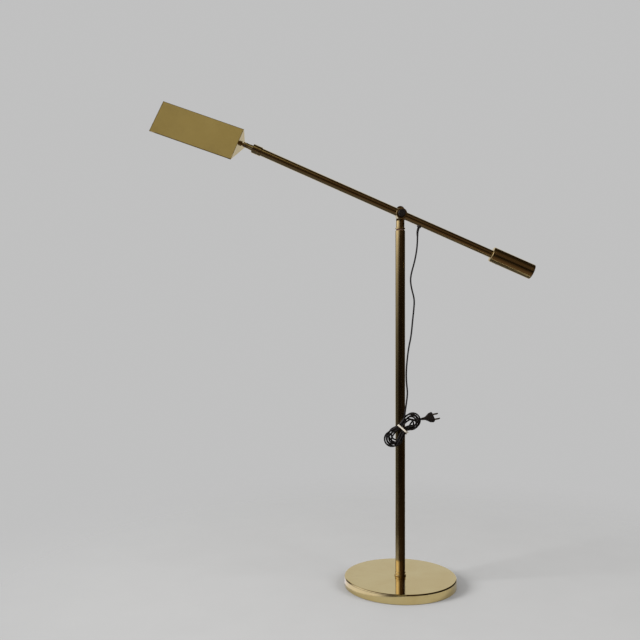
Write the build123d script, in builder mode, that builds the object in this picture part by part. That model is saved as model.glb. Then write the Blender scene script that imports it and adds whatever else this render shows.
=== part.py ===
from build123d import *
from math import cos, radians, sin, sqrt, tan
import os

# Counterbalanced brass reading lamp on a round base. Millimetres, +Z up.
# The origin is the centre of the underside of the base. The arm lies along X, with its
# shade towards -X, and the front of the lamp faces -Y.

os.makedirs("parts", exist_ok=True)

# Driving sizes of the base
base_radius = 127.0
base_height = 22.0
felt_thickness = 1.5
felt_inset = 2.5
cover_wall = 1.2
cover_lift = 1.0
cover_edge_radius = 3.0
weight_clearance = 0.3
counterbore_radius = 15.0
counterbore_depth = 9.0
bolt_radius = 4.0
bolt_head_height = 5.3
bolt_flats = 13.0
bolt_chamfer = 0.6
bolt_washer_radius = 13.0
bolt_washer_thickness = 1.6

# Driving sizes of the pole and its turned foot
pole_radius = 11.1
pole_wall = 1.2
foot_height = 12.5
foot_flange_radius = 13.2
foot_flange_height = 3.6
foot_bead_radius = 12.1
foot_bead_height = 4.4
foot_core_radius = 10.7
foot_core_height = 2.6
spigot_length = 12.0
plug_rim = 2.5
plug_length = 30.0

# Driving sizes of the swivel head
pivot_height = 843.0
head_rise = 37.5
stem_radius = 5.0
stem_tail = 12.0
thrust_washer_thickness = 2.2
thrust_washer_radius = 9.5
swivel_washer_thickness = 1.5
swivel_washer_radius = 8.5
swivel_nut_height = 6.0
swivel_nut_flats = 15.0
head_bead_radius = 11.2
head_bead_height = 4.3
head_groove_height = 1.3
head_groove_depth = 0.7
head_radius = 9.65
head_dome_rise = 20.7
tongue_drop = 13.2
tongue_thickness = 6.0

# Driving sizes of the pivot
pivot_bolt_radius = 3.0
pivot_washer_thickness = 1.1
pivot_washer_radius = 9.0
knob_washer_thickness = 1.0
knob_washer_radius = 9.7
knob_radius = 8.5
knob_length = 10.0
knob_flutes = 18
knob_flute_radius = 0.9
knob_flute_offset = 0.35
knob_chamfer = 1.6
hub_radius = 12.5
hub_wall = 2.75
hub_edge_radius = 1.0

# Driving sizes of the arm
arm_rise = 23.9
arm_offset = 19.5
arm_radius = 8.75
arm_wall = 1.0
ferrule_start = 344.5
ferrule_length = 21.5
ferrule_radius = 10.35
ferrule_grip = 8.0
ferrule_floor = 4.0
ferrule_edge_radius = 1.0
ferrule_groove_radius = 0.5
bushing_distance = 48.3
bushing_radius = 5.0
bushing_height = 3.05
bushing_wall = 1.4
bushing_tail = 1.0
bushing_edge_radius = 1.2

# Driving sizes of the counterweight, measured from the pivot
weight_start = 222.7
weight_length = 101.0
weight_radius = 17.15
weight_grip = 40.0
weight_collar_length = 5.8
weight_cap_length = 7.6
weight_groove = 0.7
weight_edge_radius = 2.2
weight_stud_radius = 4.0
weight_stud_length = 10.0
grub_radius = 2.0
grub_offset = 13.0
grub_socket = 3.0

# Driving sizes of the knuckle
knuckle_distance = 384.8
neck_base_radius = 6.7
neck_spigot_radius = 4.0
neck_nut_flats = 11.0
neck_nut_height = 5.0
fork_radius = 5.7
fork_shoulder = 3.0
fork_slot = 4.2
fork_width = 10.0
eye_radius = 5.3
eye_thickness = 4.0
eye_clearance = 0.6
knuckle_pin_radius = 1.5
knuckle_head_radius = 2.8
knuckle_head_height = 1.7
knuckle_chamfer = 0.5
stud_radius = 3.2
stud_start = 6.1
lock_nut_flats = 10.0
lock_nut_height = 4.0
plate_distance = 11.2

# Driving sizes of the shade, a sheet folded at a right angle along its ridge
shade_panel = 81.6
shade_length = 193.0
shade_sheet = 0.8
shade_fold_radius = 1.8
shade_lip = 4.0
shade_plate = 1.0
shade_roll = 28.0
shade_nod = 4.8

# Driving sizes of the lamp holder and bulb
socket_radius = 17.0
socket_wall = 1.2
socket_length = 36.0
socket_cap_length = 16.0
socket_floor = 9.0
socket_recess = 1.0
bulb_cap_radius = 13.0
bulb_cap_length = 25.0
bulb_cap_wall = 0.6
bulb_cap_floor = 2.0
bulb_radius = 16.0
bulb_length = 114.0
bulb_wall = 0.8
glass_tuck = 3.0
glass_neck_length = 5.0
glass_flare_length = 9.0
glass_flare_radius = 8.0
key_radius = 2.0
key_reach = 34.0
key_paddle_width = 14.0
key_paddle_height = 11.0
key_paddle_thickness = 3.0
key_corner = 4.0

# Driving sizes of the cord, its hank and its plug
cord_radius = 1.8
hank_pitch = 5.5
hank_layer = 4.2
hank_waist = 10.0
hank_flare = 0.27
hank_left_reaches = (33.0, 20.0, 30.0, 25.0)
hank_right_reaches = (22.0, 30.0, 19.0, 29.0)
hank_left_leans = (4.0, 8.0, 10.0, -3.0)
hank_right_leans = (-9.0, -7.0, -1.0, -13.0)
hank_tilt = 41.0
hank_shift = 3.0
hank_drop = 484.0
hank_clearance = 0.35
entry_radius = 15.0
entry_straight = 9.0
tie_width = 3.2
tie_thickness = 1.0
tie_slack = 0.4
tie_front_span = (-14.9, 15.0)
tie_rear_span = (-17.0, 29.5)
tie_front_corner = 4.0
tie_rear_corner = 12.0
plug_length_body = 26.0
plug_width = 24.0
plug_thickness = 13.0
plug_neck_radius = 3.6
plug_corner = 4.0
plug_neck_corner = 3.4
blade_spacing = 12.7
blade_width = 6.35
blade_thickness = 1.5
blade_length = 17.5

# Clearances that tie fitted pieces together
seat_gap = 0.1
press_gap = 0.05
running_gap = 0.05
end_gap = 1.0
thread_show = 1.0


def keep(piece, name):
    """Labels a finished piece and writes it to its own file."""
    piece.part.label = name
    export_step(piece.part, "parts/" + name + ".step")


def band(inner, outer, low, high):
    """A rectangle of a turned profile, between two radii and two heights."""
    with Locations((inner, low)):
        Rectangle(outer - inner, high - low, align=(Align.MIN, Align.MIN))


def bead(inner, core, outer, low, high):
    """A round-edged ring of a turned profile, on a core of smaller radius."""
    band(inner, outer, low, high)
    corners = vertices().filter_by_position(Axis.X, outer - 0.001, outer + 0.001)
    fillet(corners, min(0.45 * (high - low), 0.9 * (outer - core)))


def arm_band(start, end, inner, outer):
    """A rectangle of a profile turned about the arm, between two distances and two radii."""
    with Locations((start, inner)):
        Rectangle(end - start, outer - inner, align=(Align.MIN, Align.MIN))


# Heights of the base, the pole and the swivel head
weight_top = base_height - cover_wall
pole_top = pivot_height - head_rise
bolt_washer_top = felt_thickness + counterbore_depth
bolt_seat = bolt_washer_top - bolt_washer_thickness
foot_top = base_height + foot_height
flange_top = base_height + foot_flange_height
foot_bead_top = foot_top - foot_core_height
foot_bore = bolt_radius + press_gap
pole_bore = pole_radius - pole_wall
plug_top = pole_top + plug_rim
plug_bottom = pole_top - plug_length
head_bottom = plug_top + seat_gap + thrust_washer_thickness
head_bead_top = head_bottom + head_bead_height
head_neck_bottom = head_bead_top + head_groove_height
tongue_bottom = pivot_height - tongue_drop
dome_centre = pivot_height + head_dome_rise - head_radius
swivel_washer_top = plug_bottom - seat_gap
swivel_nut_top = swivel_washer_top - swivel_washer_thickness
stem_bottom = swivel_nut_top - stem_tail

# Depths along the pivot, from the tongue to the knob
tongue_front = -tongue_thickness / 2
hub_back = tongue_front - pivot_washer_thickness - seat_gap
hub_front = -arm_offset - arm_radius - hub_wall
knob_washer_front = hub_front - knob_washer_thickness
knob_back = knob_washer_front - seat_gap
knob_blind = 0.3 * knob_length

# The arm's own directions: along it to the shade, square to it upwards, and back
pivot = Vector(0, -arm_offset, pivot_height)
arm_dir = Vector(-cos(radians(arm_rise)), 0, sin(radians(arm_rise)))
arm_up = Vector(sin(radians(arm_rise)), 0, cos(radians(arm_rise)))
back = Vector(0, 1, 0)
arm_bore = arm_radius - arm_wall
arm_axis = Axis(pivot, arm_dir)
arm_profile = Plane(origin=pivot, x_dir=arm_dir, z_dir=back)
ferrule_end = ferrule_start + ferrule_length
neck_seat = ferrule_end + seat_gap

# The neck is rolled about the arm, and the shade nods about the neck's cross axis
roll_turn = radians(shade_roll)
nod_turn = radians(shade_nod)
neck_up = arm_up * cos(roll_turn) - back * sin(roll_turn)
neck_cross = back * cos(roll_turn) + arm_up * sin(roll_turn)
knuckle = pivot + arm_dir * knuckle_distance
shade_dir = arm_dir * cos(nod_turn) - neck_up * sin(nod_turn)
shade_up = neck_up * cos(nod_turn) + arm_dir * sin(nod_turn)
neck_profile = Plane(origin=pivot, x_dir=arm_dir, z_dir=neck_cross)
shade_origin = knuckle + shade_dir * plate_distance
shade_axis = Axis(shade_origin, shade_dir)
shade_profile = Plane(origin=shade_origin, x_dir=shade_dir, z_dir=neck_cross)


def pivot_plane(depth):
    """A plane across the pivot at a depth along Y, facing the front."""
    return Plane(origin=(0, depth, pivot_height), x_dir=(1, 0, 0), z_dir=(0, -1, 0))


def arm_plane(distance):
    """A plane square to the arm, with its first axis up."""
    return Plane(origin=pivot + arm_dir * distance, x_dir=arm_up, z_dir=arm_dir)


def under_arm(distance, drop):
    """A plane under the arm, at a drop from its axis, that looks away from it."""
    centre = pivot + arm_dir * distance - arm_up * drop
    return Plane(origin=centre, x_dir=arm_dir, z_dir=arm_up * -1)


def cross_plane(depth):
    """A plane across the knuckle's screw, at a depth along it, facing the front."""
    return Plane(origin=knuckle + neck_cross * depth, x_dir=arm_dir, z_dir=neck_cross * -1)


def shade_plane(distance):
    """A plane square to the shade, with its second axis towards the ridge."""
    return Plane(origin=shade_origin + shade_dir * distance, x_dir=neck_cross * -1, z_dir=shade_dir)


# Base: a felt, an iron weight under a spun brass cover, and the bolt that holds the pole
with BuildPart() as base_felt:
    with BuildSketch():
        Circle(base_radius - felt_inset)
    extrude(amount=felt_thickness)
keep(base_felt, "base_felt")

with BuildPart() as base_cover:
    with BuildSketch(Plane.XZ):
        band(bolt_radius + seat_gap, base_radius, cover_lift, base_height)
        fillet(vertices().sort_by(lambda v: v.X + v.Y)[-1], cover_edge_radius)
    revolve(axis=Axis.Z)
    with BuildSketch(Plane.XZ):
        band(0, base_radius - cover_wall, 0, weight_top)
        fillet(vertices().sort_by(lambda v: v.X + v.Y)[-1], cover_edge_radius - cover_wall)
    revolve(axis=Axis.Z, mode=Mode.SUBTRACT)
keep(base_cover, "base_cover")

with BuildPart() as base_weight:
    with BuildSketch(Plane.XZ):
        band(bolt_radius + seat_gap, base_radius - cover_wall - weight_clearance, felt_thickness, weight_top)
        fillet(vertices().sort_by(lambda v: v.X + v.Y)[-1], cover_edge_radius)
    revolve(axis=Axis.Z)
    with BuildSketch(Plane.XY.offset(felt_thickness)):
        Circle(counterbore_radius)
    extrude(amount=counterbore_depth, mode=Mode.SUBTRACT)
keep(base_weight, "base_weight")

with BuildPart() as base_washer:
    with BuildSketch(Plane.XY.offset(bolt_seat)):
        Circle(bolt_washer_radius)
        Circle(bolt_radius + seat_gap, mode=Mode.SUBTRACT)
    extrude(amount=bolt_washer_thickness)
keep(base_washer, "base_washer")

with BuildPart() as base_bolt:
    with BuildSketch(Plane.XY.offset(bolt_seat)):
        RegularPolygon(bolt_flats / 2, 6, major_radius=False)
    extrude(amount=-bolt_head_height)
    chamfer(base_bolt.faces().sort_by(Axis.Z)[0].edges(), bolt_chamfer)
    with BuildSketch(Plane.XY.offset(bolt_seat)):
        Circle(bolt_radius)
    extrude(amount=foot_top - bolt_seat)
keep(base_bolt, "base_bolt")

# Pole: a turned foot, the tube, and the plug in its top that carries the swivel
with BuildPart() as foot_ring:
    with BuildSketch(Plane.XZ):
        band(foot_bore, foot_core_radius, base_height, foot_top)
        band(foot_bore, pole_bore - press_gap, foot_top, foot_top + spigot_length)
        bead(foot_bore, foot_core_radius, foot_flange_radius, base_height, flange_top)
        bead(foot_bore, foot_core_radius, foot_bead_radius, foot_bead_top - foot_bead_height, foot_bead_top)
    revolve(axis=Axis.Z)
keep(foot_ring, "foot_ring")

with BuildPart() as pole_tube:
    with BuildSketch(Plane.XY.offset(foot_top)):
        Circle(pole_radius)
        Circle(pole_bore, mode=Mode.SUBTRACT)
    extrude(amount=pole_top - foot_top)
keep(pole_tube, "pole_tube")

with BuildPart() as pole_plug:
    with BuildSketch(Plane.XZ):
        band(stem_radius + running_gap, pole_bore - press_gap, plug_bottom, plug_top)
        band(stem_radius + running_gap, pole_radius, pole_top, plug_top)
        fillet(vertices().sort_by(lambda v: v.X + v.Y)[-1], plug_rim * 0.6)
    revolve(axis=Axis.Z)
keep(pole_plug, "pole_plug")

# Swivel head: a turned post whose top is milled to a flat tongue with a domed end
with BuildPart() as swivel_post:
    with BuildSketch(Plane.XZ):
        band(0, stem_radius, stem_bottom, head_bottom)
        band(0, head_radius - head_groove_depth, head_bottom, head_neck_bottom)
        band(0, head_radius, head_neck_bottom, dome_centre + head_radius)
        bead(0, head_radius, head_bead_radius, head_bottom, head_bead_top)
    revolve(axis=Axis.Z)
    with BuildSketch(Plane.XZ):
        with Locations((0, stem_bottom)):
            Rectangle(4 * head_radius, dome_centre - stem_bottom, align=(Align.CENTER, Align.MIN))
        with Locations((0, dome_centre)):
            Circle(head_radius)
    extrude(amount=2 * head_radius, both=True, mode=Mode.INTERSECT)
    with BuildSketch(Plane.XY.offset(tongue_bottom)):
        Rectangle(3 * head_radius, 3 * head_radius)
        Rectangle(3 * head_radius, tongue_thickness, mode=Mode.SUBTRACT)
    extrude(amount=4 * head_radius, mode=Mode.SUBTRACT)
    with BuildSketch(pivot_plane(0)):
        Circle(pivot_bolt_radius + press_gap)
    extrude(amount=tongue_thickness, both=True, mode=Mode.SUBTRACT)
keep(swivel_post, "swivel_post")

with BuildPart() as thrust_washer:
    with BuildSketch(Plane.XY.offset(head_bottom)):
        Circle(thrust_washer_radius)
        Circle(stem_radius + press_gap, mode=Mode.SUBTRACT)
    extrude(amount=-thrust_washer_thickness)
keep(thrust_washer, "thrust_washer")

with BuildPart() as swivel_washer:
    with BuildSketch(Plane.XY.offset(swivel_washer_top)):
        Circle(swivel_washer_radius)
        Circle(stem_radius + press_gap, mode=Mode.SUBTRACT)
    extrude(amount=-swivel_washer_thickness)
keep(swivel_washer, "swivel_washer")

with BuildPart() as swivel_nut:
    with BuildSketch(Plane.XY.offset(swivel_nut_top)):
        RegularPolygon(swivel_nut_flats / 2, 6, major_radius=False)
        Circle(stem_radius + press_gap, mode=Mode.SUBTRACT)
    extrude(amount=-swivel_nut_height)
keep(swivel_nut, "swivel_nut")

# Pivot: the bolt runs from behind the tongue, through the arm's hub, to the knob in front
with BuildPart() as pivot_bolt:
    with BuildSketch(pivot_plane(-tongue_front)):
        Circle(2 * pivot_bolt_radius)
    extrude(amount=-pivot_bolt_radius)
    fillet(pivot_bolt.faces().sort_by(Axis.Y)[-1].edges(), 0.8 * pivot_bolt_radius)
    with BuildSketch(pivot_plane(-tongue_front)):
        Circle(pivot_bolt_radius)
    extrude(amount=knob_length - knob_blind - end_gap - knob_back - tongue_front)
keep(pivot_bolt, "pivot_bolt")

with BuildPart() as pivot_washer:
    with BuildSketch(pivot_plane(tongue_front)):
        Circle(pivot_washer_radius)
        Circle(pivot_bolt_radius + press_gap, mode=Mode.SUBTRACT)
    extrude(amount=pivot_washer_thickness)
keep(pivot_washer, "pivot_washer")

with BuildPart() as knob_washer:
    with BuildSketch(pivot_plane(hub_front)):
        Circle(knob_washer_radius)
        Circle(pivot_bolt_radius + running_gap, mode=Mode.SUBTRACT)
    extrude(amount=knob_washer_thickness)
keep(knob_washer, "knob_washer")

with BuildPart() as pivot_knob:
    with BuildSketch(pivot_plane(knob_back)):
        Circle(knob_radius)
    extrude(amount=knob_length)
    chamfer(pivot_knob.faces().sort_by(Axis.Y)[0].edges(), knob_chamfer)
    with BuildSketch(pivot_plane(knob_back)):
        with PolarLocations(knob_radius + knob_flute_offset, knob_flutes):
            Circle(knob_flute_radius)
    extrude(amount=knob_length, mode=Mode.SUBTRACT)
    with BuildSketch(pivot_plane(knob_back)):
        Circle(pivot_bolt_radius + running_gap)
    extrude(amount=knob_length - knob_blind, mode=Mode.SUBTRACT)
keep(pivot_knob, "pivot_knob")

# Arm: a tube through the hub, with the cord's bushing, the ferrule and the counterweight
weight_end = weight_start + weight_length
tube_start = -weight_start - weight_grip
tube_end = ferrule_start + ferrule_grip
bushing_drop = arm_radius + bushing_height
bushing_spigot = cord_radius + bushing_wall
bushing_tail_drop = arm_bore - bushing_tail

with BuildPart() as arm_tube:
    with BuildSketch(arm_plane(tube_start)):
        Circle(arm_radius)
        Circle(arm_bore, mode=Mode.SUBTRACT)
    extrude(amount=tube_end - tube_start)
    with BuildSketch(pivot_plane(0)):
        Circle(pivot_bolt_radius + running_gap)
    extrude(amount=2 * arm_offset, mode=Mode.SUBTRACT)
    with BuildSketch(under_arm(-bushing_distance, 0)):
        Circle(bushing_spigot + press_gap)
    extrude(amount=2 * arm_radius, mode=Mode.SUBTRACT)
keep(arm_tube, "arm_tube")

with BuildPart() as arm_hub:
    with BuildSketch(pivot_plane(hub_back)):
        Circle(hub_radius)
    extrude(amount=hub_back - hub_front)
    fillet(arm_hub.edges().filter_by(GeomType.CIRCLE), hub_edge_radius)
    with BuildSketch(pivot_plane(0)):
        Circle(pivot_bolt_radius + running_gap)
    extrude(amount=2 * arm_offset, mode=Mode.SUBTRACT)
    with BuildSketch(arm_plane(0)):
        Circle(arm_radius)
    extrude(amount=2 * hub_radius, both=True, mode=Mode.SUBTRACT)
keep(arm_hub, "arm_hub")

with BuildPart() as cord_bushing:
    with BuildSketch(under_arm(-bushing_distance, bushing_tail_drop)):
        Circle(bushing_radius)
    extrude(amount=bushing_drop - bushing_tail_drop)
    fillet(cord_bushing.faces().sort_by(Axis(pivot, arm_up))[0].edges(), bushing_edge_radius)
    with BuildSketch(arm_plane(-bushing_distance)):
        Circle(arm_radius)
    extrude(amount=2 * bushing_radius, both=True, mode=Mode.SUBTRACT)
    with BuildSketch(under_arm(-bushing_distance, bushing_tail_drop)):
        Circle(bushing_spigot)
    extrude(amount=arm_radius + bushing_tail - bushing_tail_drop)
    with BuildSketch(under_arm(-bushing_distance, 0)):
        Circle(cord_radius + press_gap)
    extrude(amount=2 * bushing_drop, mode=Mode.SUBTRACT)
keep(cord_bushing, "cord_bushing")

with BuildPart() as end_ferrule:
    with BuildSketch(arm_profile):
        arm_band(ferrule_start, ferrule_end, neck_spigot_radius + running_gap, ferrule_radius)
        outer = vertices().filter_by_position(Axis.Y, ferrule_radius - 0.001, ferrule_radius + 0.001)
        fillet(outer, ferrule_edge_radius)
        with Locations((ferrule_start + ferrule_grip, ferrule_radius)):
            Circle(ferrule_groove_radius, mode=Mode.SUBTRACT)
    revolve(axis=arm_axis)
    with BuildSketch(arm_plane(ferrule_start)):
        Circle(arm_radius)
    extrude(amount=ferrule_grip, mode=Mode.SUBTRACT)
    with BuildSketch(arm_plane(ferrule_start)):
        Circle(arm_bore)
    extrude(amount=ferrule_length - ferrule_floor, mode=Mode.SUBTRACT)
keep(end_ferrule, "end_ferrule")

drum_start = weight_start + weight_collar_length
drum_end = weight_end - weight_cap_length
groove_radius = weight_radius - weight_groove

with BuildPart() as counterweight_collar:
    with BuildSketch(arm_profile):
        arm_band(-drum_start, -weight_start, arm_radius, weight_radius)
        fillet(vertices().sort_by(lambda v: v.X + v.Y)[-1], weight_edge_radius)
    revolve(axis=arm_axis)
keep(counterweight_collar, "counterweight_collar")

with BuildPart() as counterweight_drum:
    with BuildSketch(arm_profile):
        arm_band(-drum_end, -drum_start, 0, groove_radius)
        arm_band(-drum_end + weight_groove, -drum_start - weight_groove, 0, weight_radius)
    revolve(axis=arm_axis)
    with BuildSketch(arm_plane(-drum_start)):
        Circle(arm_radius)
    extrude(amount=drum_start + tube_start, mode=Mode.SUBTRACT)
    with BuildSketch(arm_plane(-drum_end)):
        Circle(weight_stud_radius + press_gap)
    extrude(amount=weight_stud_length + end_gap, mode=Mode.SUBTRACT)
    with BuildSketch(under_arm(-drum_start - grub_offset, 0)):
        Circle(grub_radius + press_gap)
    extrude(amount=2 * weight_radius, mode=Mode.SUBTRACT)
keep(counterweight_drum, "counterweight_drum")

with BuildPart() as counterweight_cap:
    with BuildSketch(arm_profile):
        arm_band(-weight_end, -drum_end, 0, weight_radius)
        fillet(vertices().sort_by(lambda v: v.Y - v.X)[-1], weight_edge_radius)
        arm_band(-drum_end, -drum_end + weight_stud_length, 0, weight_stud_radius)
    revolve(axis=arm_axis)
keep(counterweight_cap, "counterweight_cap")

with BuildPart() as counterweight_grub:
    with BuildSketch(under_arm(-drum_start - grub_offset, arm_radius + press_gap)):
        Circle(grub_radius)
    extrude(amount=weight_radius - arm_radius - end_gap)
    with BuildSketch(under_arm(-drum_start - grub_offset, weight_radius - grub_socket)):
        RegularPolygon(grub_radius / 2, 6, major_radius=False)
    extrude(amount=grub_socket, mode=Mode.SUBTRACT)
keep(counterweight_grub, "counterweight_grub")

# Knuckle: a tapered neck that turns in the ferrule, forked round the shade's eye
fork_root = knuckle_distance - fork_radius - fork_shoulder
neck_nut_end = ferrule_end - ferrule_floor - seat_gap


def neck_plane(distance):
    """A plane square to the neck, with its first axis along the knuckle's screw."""
    return Plane(origin=pivot + arm_dir * distance, x_dir=neck_cross, z_dir=arm_dir)


with BuildPart() as neck_stem:
    with BuildSketch(neck_profile):
        arm_band(neck_nut_end - neck_nut_height - thread_show, neck_seat, 0, neck_spigot_radius)
        with BuildLine():
            Polyline(
                (neck_seat, 0),
                (neck_seat, neck_base_radius),
                (fork_root, fork_radius),
                (knuckle_distance + fork_radius, fork_radius),
                (knuckle_distance + fork_radius, 0),
                close=True,
            )
        make_face()
    revolve(axis=arm_axis)
    with BuildSketch(neck_plane(fork_root)):
        Circle(2 * fork_radius)
        Rectangle(fork_width, 4 * fork_radius, mode=Mode.SUBTRACT)
    extrude(amount=3 * fork_radius, mode=Mode.SUBTRACT)
    with BuildSketch(neck_plane(knuckle_distance - eye_radius - eye_clearance)):
        Rectangle(fork_slot, 4 * fork_radius)
    extrude(amount=3 * fork_radius, mode=Mode.SUBTRACT)
    with BuildSketch(cross_plane(0)):
        Rectangle(3 * fork_radius, 3 * fork_radius, align=(Align.MIN, Align.CENTER))
        Circle(fork_radius, mode=Mode.SUBTRACT)
    extrude(amount=2 * fork_radius, both=True, mode=Mode.SUBTRACT)
    with BuildSketch(cross_plane(0)):
        Circle(knuckle_pin_radius + press_gap)
    extrude(amount=fork_width, both=True, mode=Mode.SUBTRACT)
keep(neck_stem, "neck_stem")

with BuildPart() as neck_nut:
    with BuildSketch(neck_plane(neck_nut_end)):
        RegularPolygon(neck_nut_flats / 2, 6, major_radius=False)
        Circle(neck_spigot_radius + press_gap, mode=Mode.SUBTRACT)
    extrude(amount=-neck_nut_height)
keep(neck_nut, "neck_nut")

with BuildPart() as knuckle_screw:
    with BuildSketch(cross_plane(-fork_width / 2)):
        Circle(knuckle_head_radius)
    extrude(amount=knuckle_head_height)
    chamfer(knuckle_screw.faces().sort_by(Axis(knuckle, neck_cross))[0].edges(), knuckle_chamfer)
    with BuildSketch(cross_plane(-fork_width / 2)):
        Circle(knuckle_pin_radius)
    extrude(amount=-fork_width - knuckle_head_height - thread_show)
keep(knuckle_screw, "knuckle_screw")

with BuildPart() as knuckle_nut:
    with BuildSketch(cross_plane(fork_width / 2)):
        RegularPolygon(knuckle_head_radius, 6, major_radius=False)
        Circle(knuckle_pin_radius + press_gap, mode=Mode.SUBTRACT)
    extrude(amount=-knuckle_head_height)
keep(knuckle_nut, "knuckle_nut")

plate_nut_end = shade_plate + lock_nut_height
stud_end = plate_nut_end + lock_nut_height
with BuildPart() as shade_knuckle:
    with BuildSketch(Plane(origin=knuckle, x_dir=shade_dir, z_dir=neck_cross)):
        Circle(eye_radius)
        Rectangle(stud_start + 1, 2 * stud_radius, align=(Align.MIN, Align.CENTER))
        Circle(knuckle_pin_radius + running_gap, mode=Mode.SUBTRACT)
    extrude(amount=eye_thickness / 2, both=True)
    with BuildSketch(shade_plane(stud_start - plate_distance)):
        Circle(stud_radius)
    extrude(amount=plate_distance - stud_start + stud_end)
keep(shade_knuckle, "shade_knuckle")

with BuildPart() as lock_nut:
    with BuildSketch(shade_plane(0)):
        RegularPolygon(lock_nut_flats / 2, 6, major_radius=False)
        Circle(stud_radius + press_gap, mode=Mode.SUBTRACT)
    extrude(amount=-lock_nut_height)
keep(lock_nut, "lock_nut")

with BuildPart() as plate_nut:
    with BuildSketch(shade_plane(shade_plate)):
        RegularPolygon(lock_nut_flats / 2, 6, major_radius=False)
        Circle(stud_radius + press_gap, mode=Mode.SUBTRACT)
    extrude(amount=lock_nut_height)
keep(plate_nut, "plate_nut")

# Shade: a sheet folded along its ridge, open below, with a plate soldered on each end
shade_inradius = shade_panel * (1 - sqrt(0.5))
shade_ridge = shade_inradius * sqrt(2)
shade_half_base = shade_panel * sqrt(0.5)


def shade_section():
    """The shade's outline, a right angle with a rounded ridge, about the stud's centre."""
    Polygon(
        (0, shade_ridge),
        (-shade_half_base, -shade_inradius),
        (shade_half_base, -shade_inradius),
    )
    fillet(vertices().sort_by(Axis.Y)[-1], shade_fold_radius)


with BuildPart() as shade_shell:
    with BuildSketch(shade_plane(shade_plate)):
        shade_section()
        offset(amount=-shade_sheet, mode=Mode.SUBTRACT)
        with Locations((0, -shade_inradius)):
            Rectangle(2 * (shade_half_base - shade_lip), 3 * shade_sheet, mode=Mode.SUBTRACT)
    extrude(amount=shade_length - 2 * shade_plate)
keep(shade_shell, "shade_shell")

with BuildPart() as shade_end_near:
    with BuildSketch(shade_plane(0)):
        shade_section()
        Circle(stud_radius + press_gap, mode=Mode.SUBTRACT)
    extrude(amount=shade_plate)
keep(shade_end_near, "shade_end_near")

with BuildPart() as shade_end_far:
    with BuildSketch(shade_plane(shade_length)):
        shade_section()
    extrude(amount=-shade_plate)
keep(shade_end_far, "shade_end_far")

# Lamp holder: a domed cap on the stud, a shell with its insert, the key and the bulb
cap_end = plate_nut_end + socket_cap_length
socket_end = cap_end + socket_length
insert_floor = cap_end + socket_floor
key_station = cap_end + socket_floor / 2
bulb_seat = insert_floor + bulb_cap_length
bulb_end = bulb_seat + bulb_length


def cap_outline(inset):
    """Half the outline of the domed cap, drawn in from its outer face by an inset."""
    with BuildLine() as outline:
        Polyline(
            (plate_nut_end + inset, 0),
            (plate_nut_end + inset, 0.5 * socket_radius - inset / 2),
            (plate_nut_end + socket_cap_length / 2 + inset / 2, socket_radius - inset),
            (cap_end, socket_radius - inset),
            (cap_end, 0),
            close=True,
        )
    make_face(outline.edges())


with BuildPart() as socket_cap:
    with BuildSketch(shade_profile):
        cap_outline(0)
    revolve(axis=shade_axis)
    with BuildSketch(shade_profile):
        cap_outline(socket_wall)
    revolve(axis=shade_axis, mode=Mode.SUBTRACT)
    with BuildSketch(shade_plane(0)):
        Circle(stud_radius + press_gap)
    extrude(amount=cap_end, mode=Mode.SUBTRACT)
keep(socket_cap, "socket_cap")

key_plane = Plane(origin=shade_plane(key_station).origin, x_dir=shade_dir, z_dir=shade_up * -1)
socket_bore = socket_radius - socket_wall

with BuildPart() as socket_shell:
    with BuildSketch(shade_plane(cap_end)):
        Circle(socket_radius)
        Circle(socket_bore, mode=Mode.SUBTRACT)
    extrude(amount=socket_length)
    with BuildSketch(key_plane):
        Circle(key_radius + running_gap)
    extrude(amount=2 * socket_radius, mode=Mode.SUBTRACT)
keep(socket_shell, "socket_shell")

with BuildPart() as socket_insert:
    with BuildSketch(shade_plane(cap_end)):
        Circle(socket_bore - press_gap)
    extrude(amount=socket_length - socket_recess)
    with BuildSketch(shade_plane(insert_floor)):
        Circle(bulb_cap_radius + press_gap)
    extrude(amount=socket_length, mode=Mode.SUBTRACT)
    with BuildSketch(key_plane.offset(socket_radius / 2)):
        Circle(key_radius + running_gap)
    extrude(amount=socket_radius, mode=Mode.SUBTRACT)
keep(socket_insert, "socket_insert")

with BuildPart() as switch_key:
    with BuildSketch(key_plane.offset(socket_radius / 2 + seat_gap)):
        Circle(key_radius)
    extrude(amount=key_reach - socket_radius / 2 - seat_gap - end_gap)
    with BuildSketch(key_plane.offset(key_reach - key_paddle_height)):
        Rectangle(key_paddle_width, key_paddle_thickness)
    extrude(amount=key_paddle_height)
    corners = switch_key.edges().filter_by(Axis(knuckle, neck_cross)).group_by(Axis(knuckle, shade_up))[0]
    fillet(corners, key_corner)
keep(switch_key, "switch_key")

with BuildPart() as bulb_cap:
    with BuildSketch(shade_plane(insert_floor)):
        Circle(bulb_cap_radius)
    extrude(amount=bulb_cap_length)
    chamfer(bulb_cap.faces().sort_by(shade_axis)[0].edges(), bulb_cap_floor)
    with BuildSketch(shade_plane(insert_floor + bulb_cap_floor)):
        Circle(bulb_cap_radius - bulb_cap_wall)
    extrude(amount=bulb_cap_length, mode=Mode.SUBTRACT)
keep(bulb_cap, "bulb_cap")


def glass_outline(inset):
    """Half the outline of the bulb's glass, drawn in from its outer face by an inset."""
    neck = bulb_cap_radius - bulb_cap_wall - seat_gap - inset
    radius = bulb_radius - inset
    with BuildLine() as outline:
        Polyline((bulb_end - inset, 0), (bulb_seat - glass_tuck, 0), (bulb_seat - glass_tuck, neck))
        FilletPolyline(
            (bulb_seat - glass_tuck, neck),
            (bulb_seat + glass_neck_length, neck),
            (bulb_seat + glass_neck_length + glass_flare_length, radius),
            (bulb_end - bulb_radius, radius),
            radius=glass_flare_radius,
        )
        TangentArc((bulb_end - bulb_radius, radius), (bulb_end - inset, 0), tangent=(1, 0))
    make_face(outline.edges())


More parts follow.
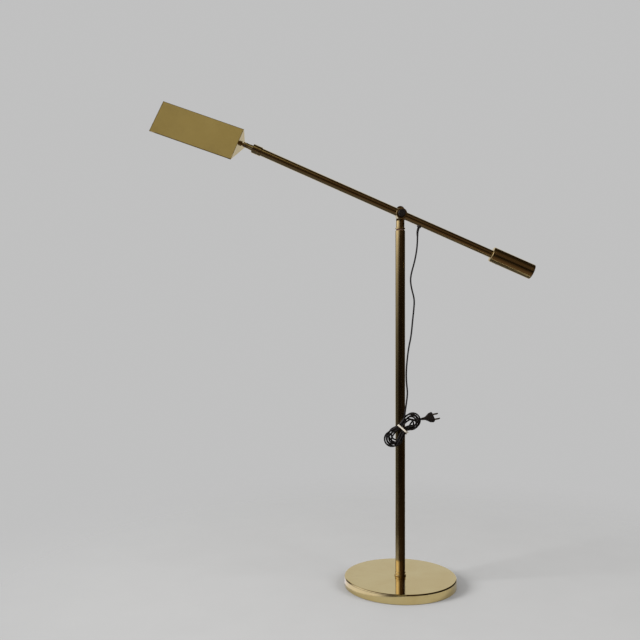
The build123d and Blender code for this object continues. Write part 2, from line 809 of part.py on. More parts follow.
with BuildPart() as bulb_glass:
    with BuildSketch(shade_profile):
        glass_outline(0)
    revolve(axis=shade_axis)
    with BuildSketch(shade_profile):
        glass_outline(bulb_wall)
    revolve(axis=shade_axis, mode=Mode.SUBTRACT)
keep(bulb_glass, "bulb_glass")

# Cord: the rest of it is wound as a hank of long loops and tied to the pole at its waist.
# The hank has its own directions: along its loops, across them, and towards the front.
cord_diameter = 2 * cord_radius
hank_along = Vector(cos(radians(hank_tilt)), 0, sin(radians(hank_tilt)))
hank_across = Vector(-sin(radians(hank_tilt)), 0, cos(radians(hank_tilt)))
hank_front = Vector(0, -1, 0)
hank_half_depth = 1.5 * hank_layer
hank_back = -pole_radius - hank_clearance - cord_radius
hank_centre = Vector(hank_shift, hank_back - hank_half_depth, pivot_height - hank_drop)


def hank_vector(along, across, front):
    """A direction, or a step from the hank's centre, in the lamp's own frame."""
    return hank_along * along + hank_across * across + hank_front * front


def hank_point(along, across, front):
    """A point of the hank in the lamp's own frame."""
    return hank_centre + hank_vector(along, across, front)


def joint_of(start, start_dir, end, end_dir):
    """The point where two arcs meet that join two stations with their directions."""
    span = end - start
    both = span.dot(start_dir + end_dir)
    facing = 2 * (1 - start_dir.dot(end_dir))
    if facing < 1e-6:
        reach = span.dot(span) / (4 * span.dot(end_dir))
    else:
        reach = (sqrt(both**2 + facing * span.dot(span)) - both) / facing
    return (start + end + (start_dir - end_dir) * reach) / 2


# The cord comes down in front of the pole, and its end turns into the outermost loop
entry_dir = Vector(-0.12, 0, -1).normalized()
entry_turn = radians(hank_vector(-1, 0, 0).get_angle(entry_dir))
entry_merge = (9.0, hank_waist + 2.5)
entry_end = hank_point(
    entry_merge[0] + entry_radius * sin(entry_turn),
    entry_merge[1] + entry_radius * (1 - cos(entry_turn)),
    hank_half_depth,
)
hank_start = entry_end - entry_dir * cord_diameter
plug_dir = Vector(0.89, 0.44, 0.09).normalized()
blade_dir = Vector(0.381, -0.632, -0.675).normalized()
tail_end = hank_point(50, -10.6, -12.5)
plug_start = tail_end + plug_dir * cord_diameter


def leaned(along, across, lean):
    """A place or a direction in the hank's plane, turned about its waist."""
    turn = radians(lean)
    return (along * cos(turn) - across * sin(turn), along * sin(turn) + across * cos(turn))


def lobe_station(layer, end, side, across, depth):
    """Where a run meets a lobe at one end of the hank, and the direction of the run there."""
    reach = hank_right_reaches[layer] if end > 0 else hank_left_reaches[layer]
    lean = hank_right_leans[layer] if end > 0 else hank_left_leans[layer]
    place = leaned(end * reach, side * (across + hank_flare * reach), lean)
    return hank_point(*place, depth), hank_vector(*leaned(-side, 0, lean), 0)


def waist_station(side, across, depth, slope):
    """Where a run passes the waist, and the direction of the run there."""
    return hank_point(0, side * across, depth), hank_vector(-side, 0, -slope).normalized()


def hank_stations():
    """Every station of the hank, with the cord's direction there, from its entry to its tail."""
    stations = [(entry_end, entry_dir)]
    stations.append((hank_point(*entry_merge, hank_half_depth), hank_vector(-1, 0, 0)))
    steps = [0, 1, 2, 3, 2, 1, 0, 1, 2, 3, 2, 1, 0]
    layer = 0
    depth = hank_half_depth
    for number, step in enumerate(steps):
        side = 1 if number % 2 == 0 else -1
        across = hank_waist - step * hank_pitch / 2
        deeper = 1 if number in (3, 6, 9) else 0
        drop = deeper * hank_layer
        if number > 0:
            stations.append(lobe_station(layer, side, side, across, depth))
            slope = drop / hank_left_reaches[0]
            stations.append(waist_station(side, across, depth - drop / 2, slope))
        layer += deeper
        depth -= drop
        stations.append(lobe_station(layer, -side, side, across, depth))
    stations.append(lobe_station(layer, -1, -1, hank_waist + hank_pitch / 2, depth))
    tail_stations = [
        ((0, -12.6, depth - 1.6), (1, 0.1, -0.25)),
        ((15, -9.4, depth - 5.2), (1, 0.28, -0.12)),
        ((31, -6.6, depth - 6.4), (1, 0.04, 0.18)),
    ]
    for place, heading in tail_stations:
        stations.append((hank_point(*place), hank_vector(*heading).normalized()))
    stations.append((tail_end, plug_dir))
    return stations


# The gap is measured on points this far apart, between those more than a stretch apart
point_spacing = 2.5
gap_stretch = 15.0


def least_gap(edges, spacing, stretch):
    """The least distance between points of a route that lie further apart along it."""
    skip = round(stretch / spacing)
    points = []
    for edge in edges:
        count = max(2, round(edge.length / spacing))
        points += [edge @ (step / count) for step in range(count)]
    least = 1000.0
    for first in range(0, len(points)):
        for second in range(first + skip, len(points)):
            least = min(least, (points[first] - points[second]).length)
    return least


with BuildPart() as cord_hank:
    with BuildLine() as hank_line:
        Line(hank_start, entry_end)
        stations = hank_stations()
        for (start, start_dir), (end, end_dir) in zip(stations, stations[1:]):
            middle = joint_of(start, start_dir, end, end_dir)
            first_arc = TangentArc(start, middle, tangent=start_dir)
            TangentArc(middle, end, tangent=first_arc % 1)
        Line(tail_end, plug_start)
    with BuildSketch(Plane(origin=hank_start, z_dir=entry_dir)):
        Circle(cord_radius)
    sweep(path=hank_line.wire())
keep(cord_hank, "cord_hank")
hank_route = hank_line.wire()
hank_gap = least_gap(hank_route.edges(), point_spacing, gap_stretch) - cord_diameter
print("hank length", round(hank_route.length, 1), "least gap", round(hank_gap, 2))
print("hank volume", round(cord_hank.part.volume), round(hank_route.length * Circle(cord_radius).area))

# The free cord hangs from the bushing to the hank: across, back and up, point by point
bushing_mouth = under_arm(-bushing_distance, bushing_drop).origin
bushing_inside = under_arm(-bushing_distance, arm_radius - 2).origin
cord_points = [
    bushing_inside,
    bushing_mouth - arm_up * 7.5,
    pivot + Vector(37.0, -0.2, -53),
    pivot + Vector(35.6, -0.4, -79),
    pivot + Vector(30.4, -0.7, -107),
    pivot + Vector(21.8, -1.0, -137),
    pivot + Vector(20.8, -1.3, -154),
    pivot + Vector(24.2, -1.6, -172),
    pivot + Vector(29.8, -1.9, -193),
    pivot + Vector(28.3, -2.2, -215),
    pivot + Vector(25.2, -2.5, -243),
    pivot + Vector(22.4, -2.9, -274),
    pivot + Vector(16.6, -3.3, -301),
    pivot + Vector(13.2, -3.7, -327),
    pivot + Vector(10.8, -4.1, -357),
    pivot + Vector(11.6, -4.5, -382),
    pivot + Vector(14.0, -4.9, -402),
    pivot + Vector(11.7, -5.3, -423),
    pivot + Vector(9.5, -5.6, -437),
    hank_start - entry_dir * entry_straight,
    hank_start,
]

# Neighbouring arcs together take in less than the whole of a run
corner_share = 0.45


def corner_radii(points):
    """The radius at each corner that takes in almost half of the shorter run beside it."""
    radii = []
    for before, corner, after in zip(points, points[1:], points[2:]):
        arriving = corner - before
        leaving = after - corner
        turn = radians(arriving.get_angle(leaving))
        radii.append(corner_share * min(arriving.length, leaving.length) / tan(turn / 2))
    return radii


cord_radii = corner_radii(cord_points)
print("cord radii", [round(radius) for radius in cord_radii])
with BuildPart() as cord_free:
    with BuildLine() as cord_line:
        FilletPolyline(*cord_points, radius=cord_radii)
    with BuildSketch(Plane(origin=bushing_inside, z_dir=arm_up * -1)):
        Circle(cord_radius)
    sweep(path=cord_line.wire())
keep(cord_free, "cord_free")
cord_route = cord_line.wire()
print("free cord length", round(cord_route.length, 1))
print("free cord volume", round(cord_free.part.volume), round(cord_route.length * Circle(cord_radius).area))

# The tie is a flat band that holds the hank's waist against the pole
with BuildPart() as cord_tie:
    with BuildSketch(Plane(origin=hank_point(-tie_width / 2, 0, 0), x_dir=hank_across, z_dir=hank_along)):
        front = hank_half_depth + cord_radius + tie_slack
        rear = hank_centre.Y - pole_radius - tie_slack
        Polygon(
            (tie_front_span[0], front),
            (tie_front_span[1], front),
            (tie_rear_span[1], rear),
            (tie_rear_span[0], rear),
        )
        fillet(vertices().group_by(Axis.Y)[-1], tie_front_corner)
        fillet(vertices().group_by(Axis.Y)[0], tie_rear_corner)
        offset(amount=tie_thickness)
        offset(amount=-tie_thickness, mode=Mode.SUBTRACT)
    extrude(amount=tie_width)
keep(cord_tie, "cord_tie")


def plug_plane(distance):
    """A plane square to the plug, at a distance from the cord's end."""
    return Plane(origin=plug_start + plug_dir * distance, x_dir=blade_dir, z_dir=plug_dir)


# The plug's cross sections: distance, width, thickness and corner radius of each
plug_sections = [
    (0, 2 * plug_neck_radius, 2 * plug_neck_radius, plug_neck_corner),
    (0.3 * plug_length_body, 2.6 * plug_neck_radius, 2.3 * plug_neck_radius, plug_neck_corner),
    (0.75 * plug_length_body, 0.9 * plug_width, plug_thickness, plug_corner),
    (plug_length_body, plug_width, plug_thickness, plug_corner),
]

with BuildPart() as plug_body:
    for distance, width, thickness, corner in plug_sections:
        with BuildSketch(plug_plane(distance)):
            RectangleRounded(width, thickness, corner)
    loft(ruled=True)
    with BuildSketch(plug_plane(plug_length_body)):
        with GridLocations(blade_spacing, 0, 2, 1):
            Rectangle(blade_thickness + 2 * press_gap, blade_width + 2 * press_gap)
    extrude(amount=-blade_width, mode=Mode.SUBTRACT)
keep(plug_body, "plug_body")

with BuildPart() as plug_blades:
    with BuildSketch(plug_plane(plug_length_body - blade_width)):
        with GridLocations(blade_spacing, 0, 2, 1):
            Rectangle(blade_thickness, blade_width)
    extrude(amount=blade_width + blade_length)
keep(plug_blades, "plug_blades")
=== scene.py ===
"""Counterbalanced brass reading lamp: the look of the CAD model, in metres, +Z up."""
from math import cos, hypot, pi, radians, sin, sqrt

import bpy
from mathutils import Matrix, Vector


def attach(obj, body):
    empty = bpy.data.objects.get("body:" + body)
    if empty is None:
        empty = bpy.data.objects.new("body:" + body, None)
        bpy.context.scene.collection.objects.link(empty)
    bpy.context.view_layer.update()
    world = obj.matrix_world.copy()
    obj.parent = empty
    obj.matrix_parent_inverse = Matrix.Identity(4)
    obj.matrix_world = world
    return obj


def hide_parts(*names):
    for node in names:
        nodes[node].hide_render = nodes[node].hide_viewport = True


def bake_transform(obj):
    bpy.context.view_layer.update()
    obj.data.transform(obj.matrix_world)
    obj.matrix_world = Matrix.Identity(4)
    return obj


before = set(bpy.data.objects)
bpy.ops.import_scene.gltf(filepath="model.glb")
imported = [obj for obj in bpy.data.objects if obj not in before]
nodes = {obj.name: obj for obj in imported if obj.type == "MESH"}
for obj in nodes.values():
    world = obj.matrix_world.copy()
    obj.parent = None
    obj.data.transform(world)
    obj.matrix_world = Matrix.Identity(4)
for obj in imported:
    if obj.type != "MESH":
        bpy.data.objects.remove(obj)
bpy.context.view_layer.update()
scene = bpy.context.scene
MM = 0.001


# Camera: level, at the photograph's eye height, with its field of view
EYE = (-0.183, -1.765, 0.604)
SENSOR_WIDTH = 36.0
FOCAL_LENGTH = 43.54
camera_data = bpy.data.cameras.new("camera")
camera_data.sensor_width = SENSOR_WIDTH
camera_data.lens = FOCAL_LENGTH
camera = bpy.data.objects.new("camera", camera_data)
camera.location = EYE
camera.rotation_euler = (radians(90), 0, 0)
scene.collection.objects.link(camera)
scene.camera = camera


def at(x, y, z):
    """A point of the lamp given in millimetres, in metres."""
    return Vector((x, y, z)) * MM


# Directions and places that the pieces below share with the CAD model
ARM_RISE = radians(23.9)
SHADE_ROLL = radians(28.0)
SHADE_NOD = radians(4.8)
KNUCKLE_REACH = 384.8
SHADE_SETBACK = 11.2
PIVOT = at(0, -19.5, 843)
BACK = Vector((0, 1, 0))
UPRIGHT = Vector((0, 0, 1))
ARM_DIR = Vector((-cos(ARM_RISE), 0, sin(ARM_RISE)))
ARM_UP = Vector((sin(ARM_RISE), 0, cos(ARM_RISE)))
NECK_UP = ARM_UP * cos(SHADE_ROLL) - BACK * sin(SHADE_ROLL)
NECK_CROSS = BACK * cos(SHADE_ROLL) + ARM_UP * sin(SHADE_ROLL)
SHADE_DIR = ARM_DIR * cos(SHADE_NOD) - NECK_UP * sin(SHADE_NOD)
SHADE_UP = NECK_UP * cos(SHADE_NOD) + ARM_DIR * sin(SHADE_NOD)
KNUCKLE = PIVOT + ARM_DIR * KNUCKLE_REACH * MM
SHADE_ORIGIN = KNUCKLE + SHADE_DIR * SHADE_SETBACK * MM


# Mesh helpers
def add_mesh(name, verts, faces, material):
    """A smooth mesh object from its points and faces, in metres."""
    mesh = bpy.data.meshes.new(name)
    mesh.from_pydata([tuple(v) for v in verts], [], faces)
    mesh.validate()
    mesh.polygons.foreach_set("use_smooth", [True] * len(mesh.polygons))
    obj = bpy.data.objects.new(name, mesh)
    scene.collection.objects.link(obj)
    obj.data.materials.append(material)
    return obj


def rings_mesh(name, rings, material, closed=False):
    """A skin over rings of equal point counts, with its ends capped or joined."""
    count = len(rings[0])
    verts = [p for ring in rings for p in ring]
    faces = []
    spans = len(rings) if closed else len(rings) - 1
    for i in range(spans):
        a, b = i * count, ((i + 1) % len(rings)) * count
        for j in range(count):
            k = (j + 1) % count
            faces.append((a + j, a + k, b + k, b + j))
    if not closed:
        faces.append(tuple(reversed(range(count))))
        faces.append(tuple(range((len(rings) - 1) * count, len(rings) * count)))
    return add_mesh(name, verts, faces, material)


def carried_frames(path):
    """The two directions across a path at each of its points, turned as little as possible."""
    frames = []
    normal = BACK * -1
    for i in range(len(path)):
        tangent = (path[min(i + 1, len(path) - 1)] - path[max(i - 1, 0)]).normalized()
        normal = (normal - tangent * normal.dot(tangent)).normalized()
        frames.append((normal, tangent.cross(normal)))
    return frames


def round_ring(centre, directions, radius, sides):
    """A circle of points round a centre, in the plane of two directions."""
    normal, side = directions
    turns = [2 * pi * j / sides for j in range(sides)]
    return [centre + (normal * cos(t) + side * sin(t)) * radius for t in turns]


def tube(name, path, radius, material, sides):
    """A round tube along the points of a path."""
    frames = carried_frames(path)
    rings = [round_ring(point, across, radius, sides) for point, across in zip(path, frames)]
    return rings_mesh(name, rings, material)


# Node helpers
def new_material(name):
    """A material with its node tree, its Principled shader and its object coordinates."""
    material = bpy.data.materials.new(name)
    material.use_nodes = True
    tree = material.node_tree
    coords = tree.nodes.new("ShaderNodeTexCoord").outputs["Object"]
    return material, tree, tree.nodes["Principled BSDF"], coords


def placed(tree, kind, mode=None, **inputs):
    """A node with its inputs, named with underscores, set to values or linked to sockets."""
    node = tree.nodes.new(kind)
    for attribute in ("operation", "vector_type", "interpolation_type"):
        if mode and hasattr(node, attribute):
            setattr(node, attribute, mode)
    for key, value in inputs.items():
        label = key.replace("_", " ").lower()
        socket = next(s for s in node.inputs if s.name.lower() == label and s.enabled)
        if isinstance(value, bpy.types.NodeSocket):
            tree.links.new(value, socket)
        else:
            socket.default_value = value
    return node


def sums(tree, operation, *values):
    """The result of a math node over sockets and numbers."""
    node = tree.nodes.new("ShaderNodeMath")
    node.operation = operation
    for socket, value in zip(node.inputs, values):
        if isinstance(value, bpy.types.NodeSocket):
            tree.links.new(value, socket)
        else:
            socket.default_value = value
    return node.outputs[0]


def vector_sums(tree, operation, vector, other=None):
    """The result of a vector math node over a socket and, where it takes two, a fixed vector."""
    node = placed(tree, "ShaderNodeVectorMath", mode=operation, vector=vector)
    if other is not None:
        node.inputs[1].default_value = other
    return node.outputs["Vector" if operation == "MULTIPLY" else "Value"]


def rising(tree, value, low, high, start=0.0, end=1.0, kind="SMOOTHSTEP"):
    """A value that goes from start to end while another one goes from low to high."""
    return placed(
        tree, "ShaderNodeMapRange", mode=kind, value=value, from_min=low, from_max=high,
        to_min=start, to_max=end,
    ).outputs[0]


def falling(tree, value, low, high):
    """A value that goes from 1 to 0 while another one goes from low to high."""
    return rising(tree, value, low, high, 1.0, 0.0)


def mixed(tree, share, first, second):
    """Two colours or values mixed by a share."""
    return placed(tree, "ShaderNodeMixRGB", fac=share, color1=first, color2=second).outputs[0]


def mixed_shaders(tree, share, first, second):
    """Two shaders mixed by a share."""
    node = tree.nodes.new("ShaderNodeMixShader")
    for socket, source in zip(node.inputs, (share, first, second)):
        tree.links.new(source, socket)
    return node.outputs[0]


def ramp(tree, factor, *stops):
    """A colour ramp over (place, colour) stops."""
    node = tree.nodes.new("ShaderNodeValToRGB")
    elements = node.color_ramp.elements
    while len(elements) < len(stops):
        elements.new(0.5)
    for element, (place, colour) in zip(elements, stops):
        element.position = place
        element.color = (*colour, 1)
    tree.links.new(factor, node.inputs[0])
    return node.outputs[0]


def noise(tree, coords, scale, detail, roughness=0.55):
    """A noise's value, from 0 to 1."""
    return placed(
        tree, "ShaderNodeTexNoise", vector=coords, scale=scale, detail=detail, roughness=roughness
    ).outputs["Fac"]


def tinted(colour, tint):
    """A colour times a tint, with the fourth number that a socket takes."""
    return (*(part * share for part, share in zip(colour, tint)), 1)


def grey(value):
    """A grey of one brightness."""
    return (value, value, value)


# Metals: a hue that drifts, specks of tarnish, smudges, and hairlines from polishing.
# A noise has its scale, detail and roughness, and a layer sets in between two values of its noise
DRIFT_NOISE = (16.0, 5.0)
DRIFT_STOPS = (0.3, 0.75)
SPECK_NOISE = (420.0, 4.0)
SPECKS_SET_IN = (0.66, 0.74)
SPECK_TINT = (0.4, 0.34, 0.28)
SPECK_ROUGHNESS = 0.3
PATINA_NOISE = (55.0, 6.0, 0.65)
PATINA_SETS_IN = (0.55, 0.8)
PATINA_TINT = (0.72, 0.66, 0.55)
SMEAR_NOISE = (11.0, 6.0, 0.62)
SMEARS_SET_IN = (0.42, 0.78)
DUST_NOISE = (700.0, 2.0)
DUST_SETS_IN = (0.5, 0.8)
DUST_SHARE = 0.5
HAIR_NOISE = (1500.0, 2.0)
HAIR_STRETCH = 60.0
HAIR_STRENGTH = 0.06
HAIR_DEPTH = 0.0001
WAVE_NOISE = (30.0, 1.0)
WAVE_STRENGTH = 0.04
WAVE_DEPTH = 0.001


def along_grain(tree, coords, direction):
    """Coordinates drawn out along the direction that a piece was polished in."""
    turn = direction.to_track_quat("Z", "Y").to_euler()
    node = placed(
        tree, "ShaderNodeMapping", mode="TEXTURE", vector=coords, rotation=turn,
        scale=(1, 1, HAIR_STRETCH),
    )
    return node.outputs[0]


def round_grain(tree, coords):
    """Coordinates that only change with the height and the distance from the upright axis."""
    radius = vector_sums(tree, "LENGTH", vector_sums(tree, "MULTIPLY", coords, (1, 1, 0)))
    height = placed(tree, "ShaderNodeSeparateXYZ", vector=coords).outputs["Z"]
    return placed(tree, "ShaderNodeCombineXYZ", x=radius, z=height).outputs[0]


def metal(name, colour, dark, roughness, smudge=0.1, grain=None, tarnish=0.3):
    """A polished or plated metal, with the grain of a lathe, along a direction or without one."""
    material, tree, shader, coords = new_material(name)
    drift = ramp(tree, noise(tree, coords, *DRIFT_NOISE), *zip(DRIFT_STOPS, (colour, dark)))
    specks = rising(tree, noise(tree, coords, *SPECK_NOISE), *SPECKS_SET_IN, 0.0, tarnish)
    patina = rising(tree, noise(tree, coords, *PATINA_NOISE), *PATINA_SETS_IN, 0.0, tarnish)
    aged = mixed(tree, patina, drift, tinted(dark, PATINA_TINT))
    spotted = mixed(tree, specks, aged, tinted(dark, SPECK_TINT))
    tree.links.new(spotted, shader.inputs["Base Color"])
    shader.inputs["Metallic"].default_value = 1.0

    smears = rising(tree, noise(tree, coords, *SMEAR_NOISE), *SMEARS_SET_IN, 0.0, smudge, "LINEAR")
    dust = noise(tree, coords, *DUST_NOISE)
    dusted = rising(tree, dust, *DUST_SETS_IN, 0.0, smudge * DUST_SHARE, "LINEAR")
    rough = sums(tree, "ADD", sums(tree, "ADD", smears, dusted), roughness)
    rough = sums(tree, "ADD", rough, sums(tree, "MULTIPLY", specks, SPECK_ROUGHNESS))
    tree.links.new(rough, shader.inputs["Roughness"])

    if grain == "lathe":
        lines = round_grain(tree, coords)
    elif grain:
        lines = along_grain(tree, coords, grain)
    else:
        lines = coords
    hairs = placed(
        tree, "ShaderNodeBump", height=noise(tree, lines, *HAIR_NOISE), strength=HAIR_STRENGTH,
        distance=HAIR_DEPTH,
    )
    waves = placed(
        tree, "ShaderNodeBump", height=noise(tree, coords, *WAVE_NOISE), strength=WAVE_STRENGTH,
        distance=WAVE_DEPTH, normal=hairs.outputs[0],
    )
    tree.links.new(waves.outputs[0], shader.inputs["Normal"])
    return material


# Soft materials: a mottle much coarser than their grain, and a roughness that follows the grain
MOTTLE_COARSER = 8
MOTTLE_DETAIL = 4.0
MOTTLE_STOPS = (0.38, 0.66)
GRAIN_DETAIL = (3.0, 0.6)
GRAIN_RANGE = (0.35, 0.7)
GRAIN_DEPTH = 0.0003
ROUGHNESS_DRIFT = (0.85, 1.15)


def soft(name, colour, second, roughness, scale, bump_strength, coat=0.0):
    """A plastic, fibre, paper or felt: two mottled colours, a grain and its own roughness."""
    material, tree, shader, coords = new_material(name)
    mottle = noise(tree, coords, scale / MOTTLE_COARSER, MOTTLE_DETAIL)
    colours = ramp(tree, mottle, *zip(MOTTLE_STOPS, (colour, second)))
    tree.links.new(colours, shader.inputs["Base Color"])
    grain = noise(tree, coords, scale, *GRAIN_DETAIL)
    least, most = (min(1.0, roughness * share) for share in ROUGHNESS_DRIFT)
    tree.links.new(rising(tree, grain, *GRAIN_RANGE, least, most, "LINEAR"), shader.inputs["Roughness"])
    bump = placed(tree, "ShaderNodeBump", height=grain, strength=bump_strength, distance=GRAIN_DEPTH)
    tree.links.new(bump.outputs[0], shader.inputs["Normal"])
    shader.inputs["Coat Weight"].default_value = coat
    return material


# The lamp's own materials: two tones and a roughness, and for a soft one also the scale of its
# grain and the strength of its bumps
BRASS_TONE = (0.74, 0.57, 0.26)
BRASS_DARK = (0.68, 0.5, 0.2)
BRASS = metal("turned_brass", BRASS_TONE, BRASS_DARK, 0.1)
POLE_BRASS = metal("pole_brass", BRASS_TONE, BRASS_DARK, 0.08, grain=UPRIGHT)
ARM_BRASS = metal("arm_brass", BRASS_TONE, BRASS_DARK, 0.13, grain=ARM_DIR)
BASE_BRASS = metal("spun_brass", (0.75, 0.61, 0.3), (0.7, 0.54, 0.24), 0.07, smudge=0.12, grain="lathe")
SHADE_BRASS = metal(
    "shade_brass", (0.72, 0.56, 0.26), (0.68, 0.52, 0.23), 0.2,
    smudge=0.08, grain=SHADE_DIR, tarnish=0.18,
)
STEEL = metal("zinc_steel", (0.58, 0.58, 0.57), (0.48, 0.48, 0.47), 0.26)
BLADE_BRASS = metal("blade_brass", (0.4, 0.33, 0.2), (0.3, 0.23, 0.12), 0.3, tarnish=0.5)
BULB_METAL = metal("bulb_metal", (0.82, 0.82, 0.8), (0.72, 0.71, 0.68), 0.2)
IRON = soft("cast_iron", (0.05, 0.05, 0.05), (0.09, 0.085, 0.08), 0.75, 500, 0.5)
FELT = soft("green_felt", (0.05, 0.08, 0.045), (0.075, 0.11, 0.065), 0.95, 1400, 0.9)
FIBRE = soft("fibre", (0.1, 0.05, 0.035), (0.14, 0.08, 0.055), 0.55, 700, 0.3)
CORD_SKIN = soft("cord_vinyl", (0.006, 0.005, 0.004), (0.012, 0.009, 0.008), 0.42, 900, 0.08)
PLUG_SKIN = soft("plug_vinyl", (0.009, 0.007, 0.006), (0.018, 0.013, 0.011), 0.36, 800, 0.2)
KNOB_BLACK = soft("knob_black", (0.008, 0.006, 0.005), (0.014, 0.011, 0.009), 0.32, 700, 0.12)
TIE_PAPER = soft("tie_paper", (0.7, 0.62, 0.5), (0.82, 0.76, 0.66), 0.65, 900, 0.5)
INSULATOR = soft("porcelain", (0.74, 0.72, 0.66), (0.8, 0.78, 0.73), 0.3, 600, 0.1)
KEY_PLASTIC = soft("key_plastic", (0.02, 0.014, 0.011), (0.035, 0.026, 0.02), 0.25, 600, 0.1, coat=0.3)
BULB_FROST = soft("bulb_frost", (0.86, 0.85, 0.82), (0.9, 0.89, 0.87), 0.35, 500, 0.05, coat=0.4)

NODE_MATERIALS = {
    FELT: ["base_felt"],
    IRON: ["base_weight"],
    BASE_BRASS: ["base_cover"],
    POLE_BRASS: ["pole_tube", "swivel_post", "foot_ring", "pole_plug"],
    ARM_BRASS: [
        "arm_tube", "arm_hub", "end_ferrule", "neck_stem", "counterweight_collar",
        "counterweight_drum", "counterweight_cap",
    ],
    STEEL: [
        "base_washer", "base_bolt", "swivel_washer", "swivel_nut", "neck_nut", "knuckle_nut",
        "counterweight_grub", "plate_nut", "knuckle_screw",
    ],
    BLADE_BRASS: ["plug_blades"],
    FIBRE: ["thrust_washer", "pivot_washer"],
    SHADE_BRASS: ["shade_shell", "shade_end_near", "shade_end_far"],
    INSULATOR: ["socket_insert"],
    KEY_PLASTIC: ["switch_key", "cord_bushing"],
    KNOB_BLACK: ["pivot_knob"],
    BULB_METAL: ["bulb_cap"],
    BULB_FROST: ["bulb_glass"],
    PLUG_SKIN: ["plug_body"],
    CORD_SKIN: ["cord_free", "cord_hank"],
    TIE_PAPER: ["cord_tie"],
}
material_of = {name: material for material, names in NODE_MATERIALS.items() for name in names}
for name, node in nodes.items():
    node.data.materials.clear()
    node.data.materials.append(material_of.get(name, BRASS))


# Cord: it leaves the bushing under the arm, hangs beside the pole and is wound as a hank
CORD_RADIUS = 1.8 * MM
CORD_DIAMETER = 2 * CORD_RADIUS
CORD_SIDES = 16
BUSHING_BEHIND = 48.3
CORD_STARTS_BELOW = 6.75
MOUTH_BELOW = 11.8
STRAIGHT_OUT = 7.5
BUSHING = PIVOT - ARM_DIR * BUSHING_BEHIND * MM
BUSHING_INSIDE = BUSHING - ARM_UP * CORD_STARTS_BELOW * MM
BUSHING_MOUTH = BUSHING - ARM_UP * MOUTH_BELOW * MM

# The hank's own directions, and its layers, whose passes lie side by side at the waist
HANK_TILT = radians(41.0)
HANK_ALONG = Vector((cos(HANK_TILT), 0, sin(HANK_TILT)))
HANK_ACROSS = Vector((-sin(HANK_TILT), 0, cos(HANK_TILT)))
HANK_FRONT = Vector((0, -1, 0))
HANK_CENTRE = at(3, -19.55, 359)
HANK_PITCH = 5.5
HANK_LAYERS = 4
LAYER_STEP = 4.2
HANK_HALF_DEPTH = (HANK_LAYERS - 1) / 2 * LAYER_STEP
HANK_WAIST = 10.0

# Its lobes from the front layer to the back one, at the lower left end (-1) and at the upper right
# end (1): how far they reach, widen, lean (in degrees) and shift to the side. A search found these
# numbers by fitting the loops' outline to the photograph's dark hank
HANK_REACHES = {-1: (32.6, 26.6, 28.2, 19.2), 1: (22.1, 24.4, 15.8, 28.7)}
HANK_WIDENS = {-1: (8.3, 6.3, 9.1, 5.8), 1: (5.6, 8.8, 6.4, 8.1)}
HANK_LEANS = {-1: (3.2, 16.6, 5.9, 1.9), 1: (-17.4, -3.0, 12.0, -18.2)}
HANK_SHIFTS = {-1: (-0.4, -0.4, -2.8, -0.4), 1: (2.9, -0.7, -2.8, 5.8)}

# Each pass lies this many half pitches in from the outermost one, and some go a layer deeper
HANK_STEPS = (0, 1, 2, 3, 2, 1, 0, 1, 2, 3, 2, 1, 0)
HANK_DEEPER = (3, 6, 9)

# Control points of a pass, by their share of the way from the waist to a lobe, and how many a
# lobe has
RUN_SHARES = (0.9, 0.6, 0.3, 0.0)
CAP_STEPS = 6
CAP_TURN = pi / CAP_STEPS

# The quadratic spline cuts inside its control points, so a lobe has them further out
MIDDLE_WEIGHT = 0.75
CAP_WIDER = 2 / (cos(CAP_TURN / 2) + MIDDLE_WEIGHT + (1 - MIDDLE_WEIGHT) * cos(CAP_TURN))


def hank_point(along, across, front):
    """A point of the hank, given in millimetres in its own directions."""
    return HANK_CENTRE + (HANK_ALONG * along + HANK_ACROSS * across + HANK_FRONT * front) * MM


def leaned(along, across, depth, lean):
    """A point of the hank, turned about its waist by a lean in radians."""
    return hank_point(
        along * cos(lean) - across * sin(lean), along * sin(lean) + across * cos(lean), depth
    )


def eased(share):
    """A share that starts and ends gently."""
    return share * share * (3 - 2 * share)


def run_point(layer, end, side, share, across, depth):
    """A control point of a pass, at a share of the way from the waist to the lobe at one end."""
    reach = HANK_REACHES[end][layer]
    spread = (1 - cos(pi * share)) / 2
    out = side * (across + HANK_WIDENS[end][layer] * spread) + HANK_SHIFTS[end][layer] * spread
    return leaned(end * reach * share, out, depth, radians(HANK_LEANS[end][layer]) * spread)


def hank_cap(layer, end, side, first, following, depth):
    """Control points round a lobe, from the pass on one side to the pass on the other."""
    reach = HANK_REACHES[end][layer]
    lean = radians(HANK_LEANS[end][layer])
    middle = side * (first - following) / 2 + HANK_SHIFTS[end][layer]
    radius = CAP_WIDER * ((first + following) / 2 + HANK_WIDENS[end][layer])
    points = []
    for step in range(CAP_STEPS):
        turn = CAP_TURN * (step + 0.5)
        along = end * (reach + radius * sin(turn))
        points.append(leaned(along, middle + side * radius * cos(turn), depth, lean))
    return points


def hank_controls():
    """Control points of the hank, from the outermost loop to the tail, and the tail's depth."""
    tracks = [HANK_WAIST - step * HANK_PITCH / 2 for step in HANK_STEPS]
    tracks.append(HANK_WAIST + HANK_PITCH / 2)
    layer = 0
    depth = HANK_HALF_DEPTH
    points = []
    for number, track in enumerate(tracks):
        side = 1 if number % 2 == 0 else -1
        last = number == len(tracks) - 1
        drop = LAYER_STEP if number in HANK_DEEPER else 0
        if number > 0:
            for share in RUN_SHARES[:-1] if last else RUN_SHARES:
                lowered = depth - drop * eased((1 - share) / 2)
                points.append(run_point(layer, side, side, share, track, lowered))
        if last:
            break
        layer += 1 if drop else 0
        for share in reversed(RUN_SHARES[:-1]):
            lowered = depth - drop * eased((1 + share) / 2)
            points.append(run_point(layer, -side, side, share, track, lowered))
        depth -= drop
        points += hank_cap(layer, -side, side, track, tracks[number + 1], depth)
    return points, depth


